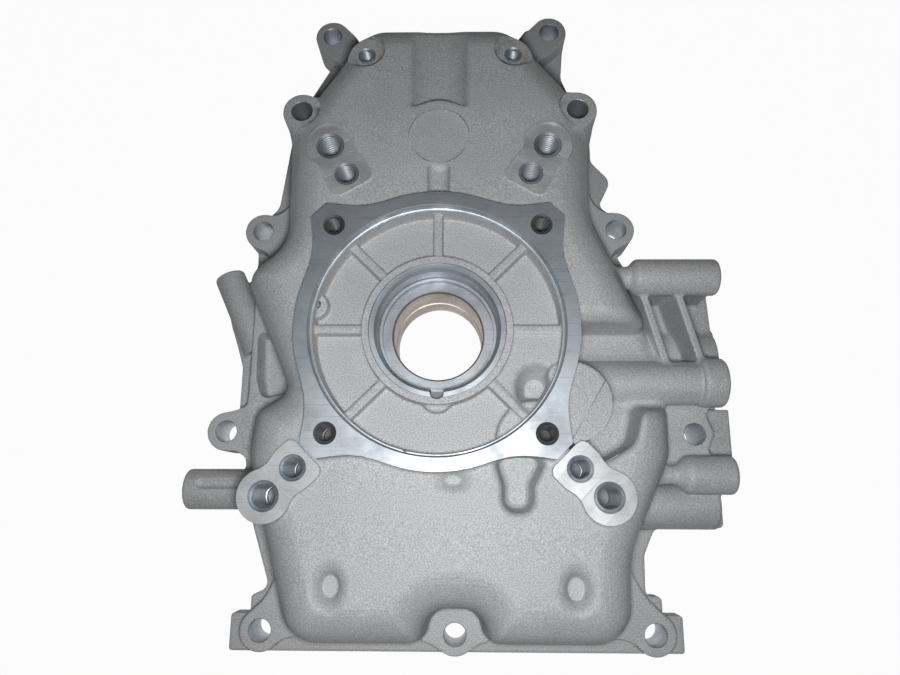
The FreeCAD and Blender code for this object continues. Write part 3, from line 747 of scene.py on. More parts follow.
def outer_casting():
    """Everything that the casting die forms on the outside, left high where it is machined."""
    edge = sizes().edge
    block = Block()
    block.add(shell_form())
    block.add(prism(FLANGE, 0.0, FLANGE_Z, edge=0.8), 1.6)
    block.add(prism(HIGH_PLATE, 0.0, HIGH_PLATE_Z, edge=edge), 1.5)
    block.add(bar(*STEP_BAR, 1.2), 1.6)
    block.add(prism(STEP_PLATE, 0.0, STEP_PLATE_Z, edge=edge), 1.5)
    block.add(prism(BOLT_PLATE, 0.0, RIGHT_LOW_Z, edge=0.7), 1.2)
    add_ears(block)
    add_left_side(block)
    for x, y in SHOULDERS:
        block.add(column(x, y, EAR_R + 1.4, 0.0, SHOULDER_Z, draft=1.5, edge=0.9), 4.0)
    for x, y in SMALL_BOSSES:
        block.add(column(x, y, SMALL_BOSS_R, FLANGE_Z, SMALL_BOSS_Z, edge=0.8), 2.5)
    add_outer_hollows(block)
    add_galleries(block)
    for angle in UPPER_ANGLES + LOWER_ANGLES:
        block.add(pad_form(angle), 1.0)
    add_ring(block)
    recess = column(0.0, 0.0, RECESS_FLOOR_R, RECESS_Z, RING_Z + 4.0, draft=-RECESS_DRAFT, foot=0.8)
    block.cut(recess, 0.4)
    add_recess_forms(block)
    return block


def pad_form(angle):
    """Raised body of a double pad."""

    run = polar(1.0, angle)

    def distance(x, y, z):
        out = x * run[0] + y * run[1] - INNER_CIRCLE_R
        plan = pad_plan(out, y * run[0] - x * run[1])
        return np.maximum(np.maximum(plan, z - PAD_Z - PAD_RAISE), EAR_Z - z)

    x, y = polar((INNER_CIRCLE_R + OUTER_CIRCLE_R) / 2, angle)
    reach = 22.0
    return Form(distance, (x - reach, y - reach, EAR_Z), (x + reach, y + reach, PAD_Z + PAD_RAISE))


def add_outer_hollows(block):
    """Trough and channel of the cam housing, open pockets and dimples."""
    block.cut(trough_form(), 2.2)
    floor = top_at(CAM_Y) - CHANNEL_DEPTH
    half = CHANNEL_WIDTH / 2
    groove = ((-half, 50.0, 0.0), (half, 50.0, 0.0), (half, 76.5, 2.5), (-half, 76.5, 2.5))
    block.cut(prism(groove, floor, KEEP_TOP, draft=-8.0, foot=3.2), 1.0)
    block.cut(prism(UPPER_POCKET, UPPER_POCKET_Z, CUTTER_TOP, draft=-6.0, foot=1.5), 6.0)
    block.cut(prism(LOWER_POCKET, LOWER_POCKET_Z, CUTTER_TOP, draft=-6.0, foot=2.5), 2.5)
    block.cut(prism(GALLERY_POCKET, GALLERY_POCKET_Z, CUTTER_TOP, draft=-POCKET_DRAFT, foot=3.0), 4.0)
    block.cut(prism(KEYHOLE, KEYHOLE_Z, CUTTER_TOP, draft=-12.0, foot=2.0), 2.0)
    for dimple in DIMPLES:
        block.cut(funnel(*dimple), 3.0)
    x, y = PUMP
    block.add(column(x, y, PUMP_R, 30.0, PUMP_Z, edge=0.6), 0.8)


def trough_form():
    """The trough that runs up from the round land over the camshaft."""
    lean = radians(TROUGH_LEAN)
    top = top_at(134.0)
    floor = top - TROUGH_DEPTH

    def distance(x, y, z):
        side = (np.abs(x) - TROUGH_HALF + (top - z) * tan(lean)) * cos(lean)
        hollow = common(side, floor - z, TROUGH_ROUND)
        land = CAM_LAND_R - np.sqrt(x * x + (y - CAM_Y) ** 2)
        return common(common(hollow, TROUGH_END_Y - y, 2.0), land + (z - top) * 0.2, 1.2)

    reach = TROUGH_HALF + 4.0
    return Form(distance, (-reach, TROUGH_END_Y, floor), (reach, GRID_HIGH[1], GRID_HIGH[2]))


def add_recess_forms(block):
    """Webs, hub and low pads inside the ring."""
    for number in range(WEB_COUNT):
        angle = WEB_FIRST + WEB_STEP * number
        start, end = polar(HUB_R - 2.0, angle), polar(RING_INNER_R + 1.0, angle)
        block.add(wall_between(start, end, WEB_WIDTH / 2, RECESS_Z - 3.0, WEB_Z, 4.0, 0.6), 0.8)
    block.add(raised_floor(), 0.8)
    block.cut(inside_ring(funnel(*RECESS_FUNNEL), -1.8), 1.6)
    block.add(column(0.0, 0.0, HUB_R + 0.3, RECESS_Z - WALL, HUB_Z + 1.0, draft=3.0), 0.9)
    x, y, radius = HUB_BUMP
    block.add(column(x, y, radius, RECESS_Z - 1.0, HUB_Z - 2.6, edge=1.2), 1.0)
    for (x, y, radius, top), draft in ((RECESS_DISC, 16.0), (CORNER_BOSS, 5.0), (RECESS_POST, 5.0)):
        block.add(inside_ring(column(x, y, radius, RECESS_Z - 6.0, top, draft=draft, edge=0.6)), 0.8)


def inside_ring(form, beyond=0.5):
    """A form with what lies outside the ring's inner wall taken off."""
    whole = form.distance

    def distance(x, y, z):
        return np.maximum(whole(x, y, z), np.sqrt(x * x + y * y) - RING_INNER_R - beyond)

    form.distance = distance
    return form


def raised_floor():
    """The sector of the recess floor that is higher, over the oil pump."""
    start, end = (radians(angle) for angle in RAISED_FLOOR_ANGLES)

    def distance(x, y, z):
        below = x * -sin(end) + y * cos(end)
        above = x * sin(start) - y * cos(start)
        plan = np.maximum(np.maximum(below, above), np.sqrt(x * x + y * y) - RING_INNER_R - 0.5)
        return np.maximum(np.maximum(plan, z - RAISED_FLOOR_Z), RECESS_Z - 6.0 - z)

    return Form(distance, (20.0, -RING_OUTER_R, RECESS_Z - 6.0), (RING_OUTER_R, 2.0, RAISED_FLOOR_Z))


def cavity_form():
    """The hollow inside the cover, with the metal that hangs into it left standing."""
    hollow = Block()
    hollow.add(shell_form(WALL, WALL, CAVITY_ROUND))
    around = 1.5

    def keep(form):
        hollow.cut(form, around)

    keep(column(0.0, 0.0, RING_INNER_R + WALL, RECESS_Z - WALL, KEEP_TOP))
    keep(column(0.0, 0.0, BEARING_R, BEARING_Z, KEEP_TOP, edge=1.0))
    keep(column(*RECESS_FUNNEL[:2], FUNNEL_BOSS_R, RECESS_FUNNEL[5] - WALL, KEEP_TOP))
    keep(column(0.0, CAM_Y, CAM_BOSS_R, CAM_BOSS_Z, KEEP_TOP))
    wide = TROUGH_HALF + WALL
    keep(box_form(-wide, CAM_Y, wide, 171.0, top_at(134.0) - TROUGH_DEPTH - WALL))
    wide = CHANNEL_WIDTH / 2 + WALL
    keep(box_form(-wide, 0.0, wide, CAM_Y, top_at(CAM_Y) - CHANNEL_DEPTH - WALL))
    for outline, floor in (
        (UPPER_POCKET, UPPER_POCKET_Z), (LOWER_POCKET, LOWER_POCKET_Z), (GALLERY_POCKET, GALLERY_POCKET_Z),
        (KEYHOLE, KEYHOLE_Z),
    ):
        keep(grown_prism(outline, WALL, floor - WALL))
    start, y, z, radius, end = COLLARED_GALLERY
    keep(box_form(66.0, y - radius, COLLAR_X, y + radius, z - radius))
    for dimple in DIMPLES:
        x, y, half_x, half_y = dimple[:4]
        wide, high = half_x + 2 * WALL, half_y + 2 * WALL
        keep(box_form(x - wide, y - high, x + wide, y + high, dimple[5] - WALL))
    for x, y in SHOULDERS:
        keep(box_form(x - EAR_R, y - EAR_R, x + EAR_R, y + EAR_R, -10.0))
    for x, y in SMALL_BOSSES:
        bottom = SMALL_BOSS_Z - SMALL_TAP_DEPTH - TAP_WALL
        keep(column(x, y, SMALL_BOSS_R, bottom, KEEP_TOP))
    for angle in UPPER_ANGLES + LOWER_ANGLES:
        start, end = polar(INNER_CIRCLE_R, angle), polar(OUTER_CIRCLE_R, angle)
        keep(post_between(start, end, PAD_POST_R, PAD_Z - PAD_TAP_DEPTH - TAP_WALL))
    for angle in LOBE_ANGLES:
        start, end = polar(RING_INNER_R, angle), polar(LOBE_HOLE_R, angle)
        keep(post_between(start, end, LOBE_POST_R, RING_Z - LOBE_TAP[1] - TAP_WALL))
    for number in range(RIB_COUNT):
        angle = 360.0 * (number + 0.5) / RIB_COUNT
        keep(hanging_rib(polar(BEARING_R - 1.0, angle), polar(RIB_END_R, angle)))
    return hollow


def box_form(x0, y0, x1, y1, bottom):
    points = ((x0, y0, 1.5), (x1, y0, 1.5), (x1, y1, 1.5), (x0, y1, 1.5))
    return prism(points, bottom, KEEP_TOP)


def grown_prism(points, margin, bottom):
    """An upright solid on an outline moved outwards."""

    def distance(x, y, z):
        return np.maximum(plan_distance(points, x, y) - margin, bottom - z)

    xs = [point[0] for point in points]
    ys = [point[1] for point in points]
    low = (min(xs) - margin, min(ys) - margin, bottom)
    return Form(distance, low, (max(xs) + margin, max(ys) + margin, KEEP_TOP))


def post_between(start, end, radius, bottom):
    """A tall post with round ends in plan."""
    a, run, length = straight(start, end)

    def distance(x, y, z):
        along = np.clip((x - a.x) * run.x + (y - a.y) * run.y, 0.0, length)
        aside = np.sqrt((x - a.x - along * run.x) ** 2 + (y - a.y - along * run.y) ** 2) - radius
        return common(aside, bottom - z, 1.0)

    return Form(distance, *box_round(start, end, radius, bottom, KEEP_TOP))


def hanging_rib(start, end):
    """A rib under the ceiling that grows shallower as it goes out."""
    a, run, length = straight(start, end)

    def distance(x, y, z):
        along = (x - a.x) * run.x + (y - a.y) * run.y
        height = RIB_Z + (RIB_END_Z - RIB_Z) * np.clip(along / length, 0.0, 1.0)
        aside = np.abs((y - a.y) * run.x - (x - a.x) * run.y) - RIB_HALF
        ends = np.abs(along - length / 2) - length / 2
        return np.maximum(common(aside, height - z, 1.0), ends)

    return Form(distance, *box_round(start, end, RIB_HALF + 1.0, RIB_Z, KEEP_TOP))


# Machining: closed tool bodies that are cut out of the casting

def stacked(name, points, segments, ring=False):
    """A closed tool body on rows of points; the last row runs on to the first in a ring."""
    rows = len(points) // segments
    faces = []
    for row in range(rows if ring else rows - 1):
        above = (row + 1) % rows * segments
        for number in range(segments):
            following = (number + 1) % segments
            a, b = row * segments + number, row * segments + following
            faces.append((a, b, above + following, above + number))
    if not ring:
        faces.append(tuple(reversed(range(segments))))
        faces.append(tuple(range((rows - 1) * segments, rows * segments)))
    made = bpy.data.meshes.new(name)
    made.from_pydata(points, [], faces)
    made.update()
    return made


def lathe(name, profile, segments=96, ring=False):
    """A closed tool body turned from radius and height pairs; a ring has no ends."""
    points = []
    for radius, z in profile:
        for number in range(segments):
            angle = 2 * pi * number / segments
            points.append((radius * cos(angle) * MM, radius * sin(angle) * MM, z * MM))
    return stacked(name, points, segments, ring)


def tap(name, radius, depth, pitch, level=0.0, segments=40, rows=4):
    """A threaded tool body with a drill point, its mouth at a level, opening upwards."""
    depth_of_thread = THREAD_DEPTH * pitch
    drill = radius - depth_of_thread
    profile_rows = [(-depth - drill * 0.6, 0.05, 0.0), (-depth, drill, 0.0)]
    thread_bottom = -depth + 2.5
    count = int((0.0 - thread_bottom) / pitch * rows)
    profile_rows.append((thread_bottom - 0.2, drill, 0.0))
    for number in range(count + 1):
        profile_rows.append((thread_bottom + number * pitch / rows, drill, depth_of_thread))
    profile_rows.append((-0.9, radius - 0.1, 0.0))
    profile_rows.append((0.0, radius + 0.8, 0.0))
    profile_rows.append((8.0, radius + 0.8, 0.0))
    profile_rows = [row for row in profile_rows if row[0] >= -0.9 or row[0] < -1.0]
    points = []
    for z, base, thread in profile_rows:
        for number in range(segments):
            angle = 2 * pi * number / segments
            phase = (z / pitch - number / segments) % 1.0
            here = base + thread * (1.0 - abs(2.0 * phase - 1.0))
            points.append((here * cos(angle) * MM, here * sin(angle) * MM, (z + level) * MM))
    return stacked(name, points, segments)


def extruded(name, run, bottom, top):
    """A closed tool body on a closed run of plain points, in millimetres."""
    points = [(x * MM, y * MM, z * MM) for z in (bottom, top) for x, y in run]
    return stacked(name, points, len(run))


def strip(start, end, half):
    """Corners of a thin strip between two points in the plane."""
    a, b = Vector(start), Vector(end)
    side = (b - a).normalized().orthogonal() * half
    return [tuple(a - side), tuple(b - side), tuple(b + side), tuple(a + side)]


def tool_object(mesh, material, x=0.0, y=0.0, z=0.0):
    """A tool body at a place, as an object with one material."""
    mesh.transform(Matrix.Translation((x * MM, y * MM, z * MM)))
    mesh.materials.clear()
    mesh.materials.append(material)
    made = bpy.data.objects.new(mesh.name, mesh)
    bpy.context.scene.collection.objects.link(made)
    return made


def cut_with(casting, tools):
    """Cuts tool bodies out of the casting, one boolean for each."""
    for tool in tools:
        modifier = casting.modifiers.new("cut", "BOOLEAN")
        modifier.operation = "DIFFERENCE"
        modifier.solver = "MANIFOLD"
        modifier.material_mode = "TRANSFER"
        modifier.object = tool
    bake_modifiers(casting)
    for tool in tools:
        mesh = tool.data
        bpy.data.objects.remove(tool)
        bpy.data.meshes.remove(mesh)


def bake_modifiers(piece):
    """Turns a piece and its modifiers into a plain mesh."""
    graph = bpy.context.evaluated_depsgraph_get()
    made = bpy.data.meshes.new_from_object(piece.evaluated_get(graph), depsgraph=graph)
    old = piece.data
    piece.modifiers.clear()
    piece.data = made
    bpy.data.meshes.remove(old)


def thin(piece, goal):
    """Thins a piece's mesh to about a number of triangles, most where it is flat."""
    count = sum(len(polygon.vertices) - 2 for polygon in piece.data.polygons)
    modifier = piece.modifiers.new("thin", "DECIMATE")
    modifier.ratio = min(1.0, goal / count)
    bake_modifiers(piece)


def machining_tools(cast, turned, milled, drilled_painted_shade, bored):
    """Every tool body that the casting meets, in the order of the cuts."""
    tools = []
    group = circle_group()
    face = lathe("ring_face", [(PILOT_R + 4.0, RING_Z), (PILOT_R + 4.0, RING_Z + 8.0)])
    tools.append(tool_object(face, turned))
    lip = [
        (RING_INNER_R - 0.5, RING_Z - 4.2), (RING_INNER_R, RING_Z - 4.0), (RING_INNER_R, RING_Z - 0.4),
        (RING_INNER_R + 0.4, RING_Z), (RING_INNER_R + 0.4, RING_Z + 6.0),
    ]
    tools.append(tool_object(lathe("ring_lip", lip, 160), turned))
    hub = lathe("hub_face", [(HUB_R + 2.4, HUB_Z), (HUB_R + 2.4, HUB_Z + 6.0)])
    tools.append(tool_object(hub, cast))
    bearing = [
        (BORE_R, -4.0), (BORE_R, BORE_GROOVE_Z - 1.2), (BORE_R + 0.9, BORE_GROOVE_Z - 1.0),
        (BORE_R + 0.9, BORE_GROOVE_Z + 1.0), (BORE_R, BORE_GROOVE_Z + 1.2), (BORE_R, SEAT_Z - 0.8),
        (BORE_R + 0.8, SEAT_Z + 0.1),
    ]
    tools.append(tool_object(lathe("bearing_bore", bearing, 128), bored))
    cam = lathe("cam_bore", [(CAM_BORE_R, CAM_BOSS_Z - 1.0), (CAM_BORE_R, CAM_BORE_TOP)])
    tools.append(tool_object(cam, bored, 0.0, CAM_Y))
    gallery = lathe("gallery_bore", [(GALLERY_BORE_R, -GALLERY_BORE_DEPTH), (GALLERY_BORE_R, 2.0)], 48)
    gallery.transform(Matrix.Rotation(pi / 2, 4, "Y"))
    tools.append(tool_object(gallery, drilled_painted_shade, COLLARED_GALLERY[4], *COLLARED_GALLERY[1:3]))
    bore = [
        (SEAT_R, SEAT_Z), (SEAT_R, SEAL_STEP_Z), (SEAL_R - 0.4, SEAL_STEP_Z),
        (SEAL_R, SEAL_STEP_Z + 0.4), (SEAL_R, HUB_STEP_Z - HUB_LIP_R + SEAL_R), (HUB_LIP_R, HUB_STEP_Z),
        (HUB_STEP_R, HUB_STEP_Z), (HUB_STEP_R + 0.3, HUB_Z), (HUB_STEP_R + 0.3, HUB_Z + 6.0),
    ]
    tools.append(tool_object(lathe("seal_bore", bore, 128), turned))
    tools += pad_tools(group, milled, turned)
    tools += round_details(cast, drilled_painted_shade)
    for x, y in SHOULDERS + SMALL_BOSSES:
        spot = lathe("spot_face", [(SMALL_BOSS_R + 0.6, 0.0), (SMALL_BOSS_R + 0.9, 9.0)], 64)
        tools.append(tool_object(spot, cast, x, y, SHOULDER_Z))
    for x, y in [ear[0] for ear in EARS] + [RIGHT_LOW]:
        top = RIGHT_LOW_Z if (x, y) == RIGHT_LOW else EAR_Z
        tools.append(tool_object(bolt_tool(top), turned, x, y))
    for x, y in SHOULDERS:
        tools.append(tool_object(bolt_tool(SHOULDER_Z), turned, x, y))
    lobe = tool_object(tap("lobe_tap", *LOBE_TAP, RING_Z), drilled_painted_shade)
    tools.append(on_circle(group, lobe, drilled_painted_shade, LOBE_HOLE_R, LOBE_ANGLES[0], 90.0, len(LOBE_ANGLES)))
    for x, y in SMALL_BOSSES:
        small = tap("small_tap", SMALL_TAP_R, SMALL_TAP_DEPTH, SMALL_TAP_PITCH)
        tools.append(tool_object(small, turned, x, y, SMALL_BOSS_Z))
    return tools


def circle_group():
    """Node group: sets copies of a body on a circle about the origin, each turned outwards."""
    tree = bpy.data.node_groups.new("bodies on a circle", "GeometryNodeTree")
    tree.is_modifier = True
    sockets = tree.interface
    sockets.new_socket("Geometry", in_out="INPUT", socket_type="NodeSocketGeometry")
    sockets.new_socket("Count", in_out="INPUT", socket_type="NodeSocketInt")
    for name in ("Radius", "First angle", "Step angle"):
        sockets.new_socket(name, in_out="INPUT", socket_type="NodeSocketFloat")
    sockets.new_socket("Material", in_out="INPUT", socket_type="NodeSocketMaterial")
    sockets.new_socket("Geometry", in_out="OUTPUT", socket_type="NodeSocketGeometry")
    entry = tree.nodes.new("NodeGroupInput").outputs
    leave = tree.nodes.new("NodeGroupOutput")
    index = tree.nodes.new("GeometryNodeInputIndex").outputs["Index"]
    angle = math_node(tree, "MULTIPLY", index, entry["Step angle"])
    angle = math_node(tree, "ADD", angle, entry["First angle"])
    place = tree.nodes.new("ShaderNodeCombineXYZ")
    for axis, function in (("X", "COSINE"), ("Y", "SINE")):
        share = math_node(tree, function, angle)
        tree.links.new(math_node(tree, "MULTIPLY", share, entry["Radius"]), place.inputs[axis])
    turn = tree.nodes.new("ShaderNodeCombineXYZ")
    tree.links.new(angle, turn.inputs["Z"])
    points = tree.nodes.new("GeometryNodePoints")
    tree.links.new(entry["Count"], points.inputs["Count"])
    tree.links.new(place.outputs["Vector"], points.inputs["Position"])
    copies = tree.nodes.new("GeometryNodeInstanceOnPoints")
    tree.links.new(points.outputs[0], copies.inputs["Points"])
    tree.links.new(entry["Geometry"], copies.inputs["Instance"])
    tree.links.new(turn.outputs["Vector"], copies.inputs["Rotation"])
    real = tree.nodes.new("GeometryNodeRealizeInstances")
    tree.links.new(copies.outputs["Instances"], real.inputs["Geometry"])
    finish = tree.nodes.new("GeometryNodeSetMaterial")
    tree.links.new(real.outputs["Geometry"], finish.inputs["Geometry"])
    tree.links.new(entry["Material"], finish.inputs["Material"])
    tree.links.new(finish.outputs["Geometry"], leave.inputs["Geometry"])
    return tree


def on_circle(group, tool, material, radius, first, step, count=2):
    """Repeats a tool body on a circle; radius in millimetres, angles in degrees."""
    values = {
        "Count": count, "Radius": radius * MM, "First angle": radians(first), "Step angle": radians(step),
        "Material": material,
    }
    modifier = tool.modifiers.new("copies", "NODES")
    modifier.node_group = group
    for item in group.interface.items_tree:
        if item.in_out == "INPUT" and item.name in values:
            modifier[item.identifier] = values[item.name]
    bake_modifiers(tool)
    return tool


def pad_tools(group, milled, threaded):
    """Cutters for the double pads: face, lines between the passes, and tapped holes."""
    tools = []
    run = traced(pad_plan, 8.0, 0.0, 26.0)
    for (first, last), grow in ((UPPER_ANGLES, 1.0), (LOWER_ANGLES, 1.07)):
        step = (last - first) % 360.0
        face = [(8.0 + (x - 8.0) * grow, y * grow) for x, y in run]
        bodies = [(extruded("pad_face", face, PAD_Z, PAD_Z + 6.0), INNER_CIRCLE_R, milled)]
        for place in PAD_LINES:
            line = strip((place, -9.2), (place, 9.2), 0.16)
            body = extruded("pad_line", line, PAD_Z - 0.1, PAD_Z + 1.0)
            bodies.append((body, INNER_CIRCLE_R, milled))
        for circle, radius, pitch in PAD_TAPS:
            bodies.append((tap("pad_tap", radius, PAD_TAP_DEPTH, pitch, PAD_Z), circle, threaded))
        for body, circle, material in bodies:
            tools.append(on_circle(group, tool_object(body, material), material, circle, first, step))
    return tools


def round_details(cast, drilled_painted_shade):
    """Crisp cast edges: cam disc, drain hole, corner boss hole and the step in the pump boss."""
    tools = []
    floor = top_at(CAM_Y) - CAM_DISC_DEPTH
    disc = lathe("cam_disc", [(CAM_DISC_R - 0.3, 0.0), (CAM_DISC_R, 0.3), (CAM_DISC_R + 0.3, 6.0)], 96)
    tools.append(tool_object(disc, cast, 0.0, CAM_Y, floor))
    for x, y, radius, z in ((0.0, CAM_Y, CAM_DISC_R, floor), (*PUMP, PUMP_RING_R, PUMP_Z)):
        outer, inner = radius - 0.02, radius - 0.9
        groove = [(outer, -0.8), (outer, 1.0), (inner, 1.0), (inner, -0.8)]
        tools.append(tool_object(lathe("round_groove", groove, 96, ring=True), cast, x, y, z))
    x, y, radius = DRAIN_HOLE
    drain = lathe("drain_hole", [(radius, 0.0), (radius, 14.0)], 32)
    tools.append(tool_object(drain, drilled_painted_shade, x, y, SEAL_STEP_Z + 2.0))
    x, y, radius = CORNER_BOSS_HOLE
    hole = lathe("corner_hole", [(radius, 0.0), (radius, 8.6)], 32)
    tools.append(tool_object(hole, cast, x, y, CORNER_BOSS[3] - 8.0))
    low = [PUMP_STEP[0], PUMP_STEP[1], (70.0, -60.0), (90.0, -30.0)]
    tools.append(tool_object(extruded("pump_step", low, PUMP_Z - PUMP_STEP_DEPTH, PUMP_Z + 1.0), cast))
    groove = strip(*PUMP_STEP, 0.25)
    tools.append(tool_object(extruded("pump_groove", groove, PUMP_Z - 1.4, PUMP_Z + 1.0), cast))
    return tools


def bolt_tool(top):
    """A drill for a bolt hole with a small countersink."""
    profile = [
        (BOLT_R + 0.4, -3.0), (BOLT_R + 0.4, 0.0), (BOLT_R, 0.4), (BOLT_R, top - 0.25),
        (BOLT_R + 0.25, top), (BOLT_R + 0.25, top + 3.0),
    ]
    return lathe("bolt_hole", profile, 48)


def smooth_normals(casting, block, cast_slots):
    """Gives cast faces the true directions of the shaped surface, and keeps machined faces flat."""
    mesh = casting.data
    count = len(mesh.loops)
    places = np.zeros(len(mesh.vertices) * 3)
    mesh.vertices.foreach_get("co", places)
    places = places.reshape(-1, 3)
    corners = np.zeros(count, np.int32)
    mesh.loops.foreach_get("vertex_index", corners)
    slots = np.zeros(len(mesh.polygons), np.int32)
    mesh.polygons.foreach_get("material_index", slots)
    totals = np.zeros(len(mesh.polygons), np.int32)
    mesh.polygons.foreach_get("loop_total", totals)
    flat = np.zeros(len(mesh.polygons) * 3)
    mesh.polygons.foreach_get("normal", flat)
    flat = np.repeat(flat.reshape(-1, 3), totals, axis=0)
    directions = block.gradient(places / MM)[corners]
    agrees = (directions * flat).sum(1) > 0.55
    cast = np.repeat(np.isin(slots, cast_slots), totals) & agrees
    normals = np.where(cast[:, None], directions, flat)
    mesh.polygons.foreach_set("use_smooth", np.ones(len(mesh.polygons), bool))
    mesh.normals_split_custom_set([tuple(normal) for normal in normals])


# Materials

def new_material(name):
    made = bpy.data.materials.new(name)
    made.use_nodes = True
    nodes = made.node_tree.nodes
    nodes.clear()
    output = nodes.new("ShaderNodeOutputMaterial")
    shader = nodes.new("ShaderNodeBsdfPrincipled")
    made.node_tree.links.new(shader.outputs["BSDF"], output.inputs["Surface"])
    return made, made.node_tree, shader


def math_node(tree, operation, first, second=None, clamp=False):
    """A math node on sockets or plain numbers; gives its output socket."""
    node = tree.nodes.new("ShaderNodeMath")
    node.operation = operation
    node.use_clamp = clamp
    for index, value in enumerate((first, second)):
        if value is None:
            continue
        if isinstance(value, (int, float)):
            node.inputs[index].default_value = value
        else:
            tree.links.new(value, node.inputs[index])
    return node.outputs[0]


def noise(tree, place, scale, detail=3.0, roughness=0.5):
    node = tree.nodes.new("ShaderNodeTexNoise")
    node.inputs["Scale"].default_value = scale
    node.inputs["Detail"].default_value = detail
    node.inputs["Roughness"].default_value = roughness
    tree.links.new(place, node.inputs["Vector"])
    return node.outputs["Fac"]


def new_group(name, outputs, value=None, default=0.0):
    """A shader node group with a vector, perhaps one value, and outputs; gives its inner ends."""
    tree = bpy.data.node_groups.new(name, "ShaderNodeTree")
    sockets = tree.interface
    sockets.new_socket("Vector", in_out="INPUT", socket_type="NodeSocketVector")
    if value:
        sockets.new_socket(value, in_out="INPUT", socket_type="NodeSocketFloat").default_value = default
    for output in outputs:
        sockets.new_socket(output, in_out="OUTPUT", socket_type="NodeSocketFloat")
    entry = tree.nodes.new("NodeGroupInput")
    leave = tree.nodes.new("NodeGroupOutput")
    return tree, entry.outputs, leave.inputs


def grain_group():
    """Node group: blasted grain, with its height, a light and dark mottling and a fine speckle."""
    outputs = ("Height", "Mottle", "Speckle")
    tree, entry, leave = new_group("blasted grain", outputs, "Grain", 1.0)
    place = entry["Vector"]
    fine = noise(tree, place, 2600.0, 2.0, 0.6)
    coarse = noise(tree, place, 1000.0, 2.0, 0.5)
    height = math_node(tree, "ADD", math_node(tree, "MULTIPLY", fine, 0.6),
                       math_node(tree, "MULTIPLY", coarse, 0.4))
    tree.links.new(math_node(tree, "MULTIPLY", height, entry["Grain"]), leave["Height"])
    tree.links.new(noise(tree, place, 45.0, 4.0, 0.55), leave["Mottle"])
    tree.links.new(noise(tree, place, 1900.0, 1.0, 0.5), leave["Speckle"])
    return tree


def use_group(tree, group, place):
    node = tree.nodes.new("ShaderNodeGroup")
    node.node_tree = group
    tree.links.new(place, node.inputs["Vector"])
    return node


def mixed(tree, factor, first, second):
    """Mix of two colours by a factor; it and the colours are sockets or plain numbers."""
    node = tree.nodes.new("ShaderNodeMix")
    node.data_type = "RGBA"
    if isinstance(factor, float):
        node.inputs["Factor"].default_value = factor
    else:
        tree.links.new(factor, node.inputs["Factor"])
    for name, value in (("A", first), ("B", second)):
        socket = [s for s in node.inputs if s.name == name and s.type == "RGBA"][0]
        if isinstance(value, (tuple, list)):
            socket.default_value = value
        else:
            tree.links.new(value, socket)
    return [s for s in node.outputs if s.type == "RGBA"][0]


def ranged(tree, value, low, high, to_low, to_high):
    node = tree.nodes.new("ShaderNodeMapRange")
    tree.links.new(value, node.inputs["Value"])
    node.inputs["From Min"].default_value = low
    node.inputs["From Max"].default_value = high
    node.inputs["To Min"].default_value = to_low
    node.inputs["To Max"].default_value = to_high
    return node.outputs["Result"]


def shade(colour, factor):
    return tuple(min(1.0, part * factor) for part in colour[:3]) + (1.0,)


def cast_material(grain):
    made, tree, shader = new_material("blasted_casting")
    place = tree.nodes.new("ShaderNodeTexCoord").outputs["Object"]
    effect = use_group(tree, grain, place)
    effect.inputs["Grain"].default_value = 1.0
    base = tuple(colours().cast)
    mottle = ranged(tree, effect.outputs["Mottle"], 0.3, 0.7, 0.0, 1.0)
    colour = mixed(tree, mottle, shade(base, 0.9), shade(base, 1.08))
    speckle = ranged(tree, effect.outputs["Speckle"], 0.35, 0.65, 0.0, 1.0)
    dark = mixed(tree, speckle, shade(base, 0.55), shade(base, 1.45))
    tree.links.new(mixed(tree, 0.45, colour, dark), shader.inputs["Base Color"])
    shader.inputs["Metallic"].default_value = 0.12
    shader.inputs["Specular IOR Level"].default_value = 0.05
    tree.links.new(ranged(tree, effect.outputs["Mottle"], 0.3, 0.7, 0.5, 0.6), shader.inputs["Roughness"])
    bump = tree.nodes.new("ShaderNodeBump")
    bump.inputs["Strength"].default_value = 0.55
    bump.inputs["Distance"].default_value = 0.00035
    tree.links.new(effect.outputs["Height"], bump.inputs["Height"])
    tree.links.new(bump.outputs["Normal"], shader.inputs["Normal"])
    return made


def scuff_group():
    """Node group: scuffed machined metal, with blotches and crossed fine scratches."""
    tree, entry, leave = new_group("scuffed metal", ("Blotch", "Scratch"))
    place = entry["Vector"]
    tree.links.new(noise(tree, place, 60.0, 5.0, 0.6), leave["Blotch"])
    total = None
    for turn, stretch in ((20.0, 40.0), (75.0, 30.0), (-38.0, 50.0)):
        mapping = tree.nodes.new("ShaderNodeMapping")
        mapping.inputs["Rotation"].default_value = (0.0, 0.0, radians(turn))
        mapping.inputs["Scale"].default_value = (stretch, 1400.0, 100.0)
        tree.links.new(place, mapping.inputs["Vector"])
        lines = noise(tree, mapping.outputs["Vector"], 1.0, 2.0, 0.5)
        sharp = ranged(tree, lines, 0.62, 0.72, 0.0, 1.0)
        total = sharp if total is None else math_node(tree, "MAXIMUM", total, sharp)
    tree.links.new(total, leave["Scratch"])
    return tree


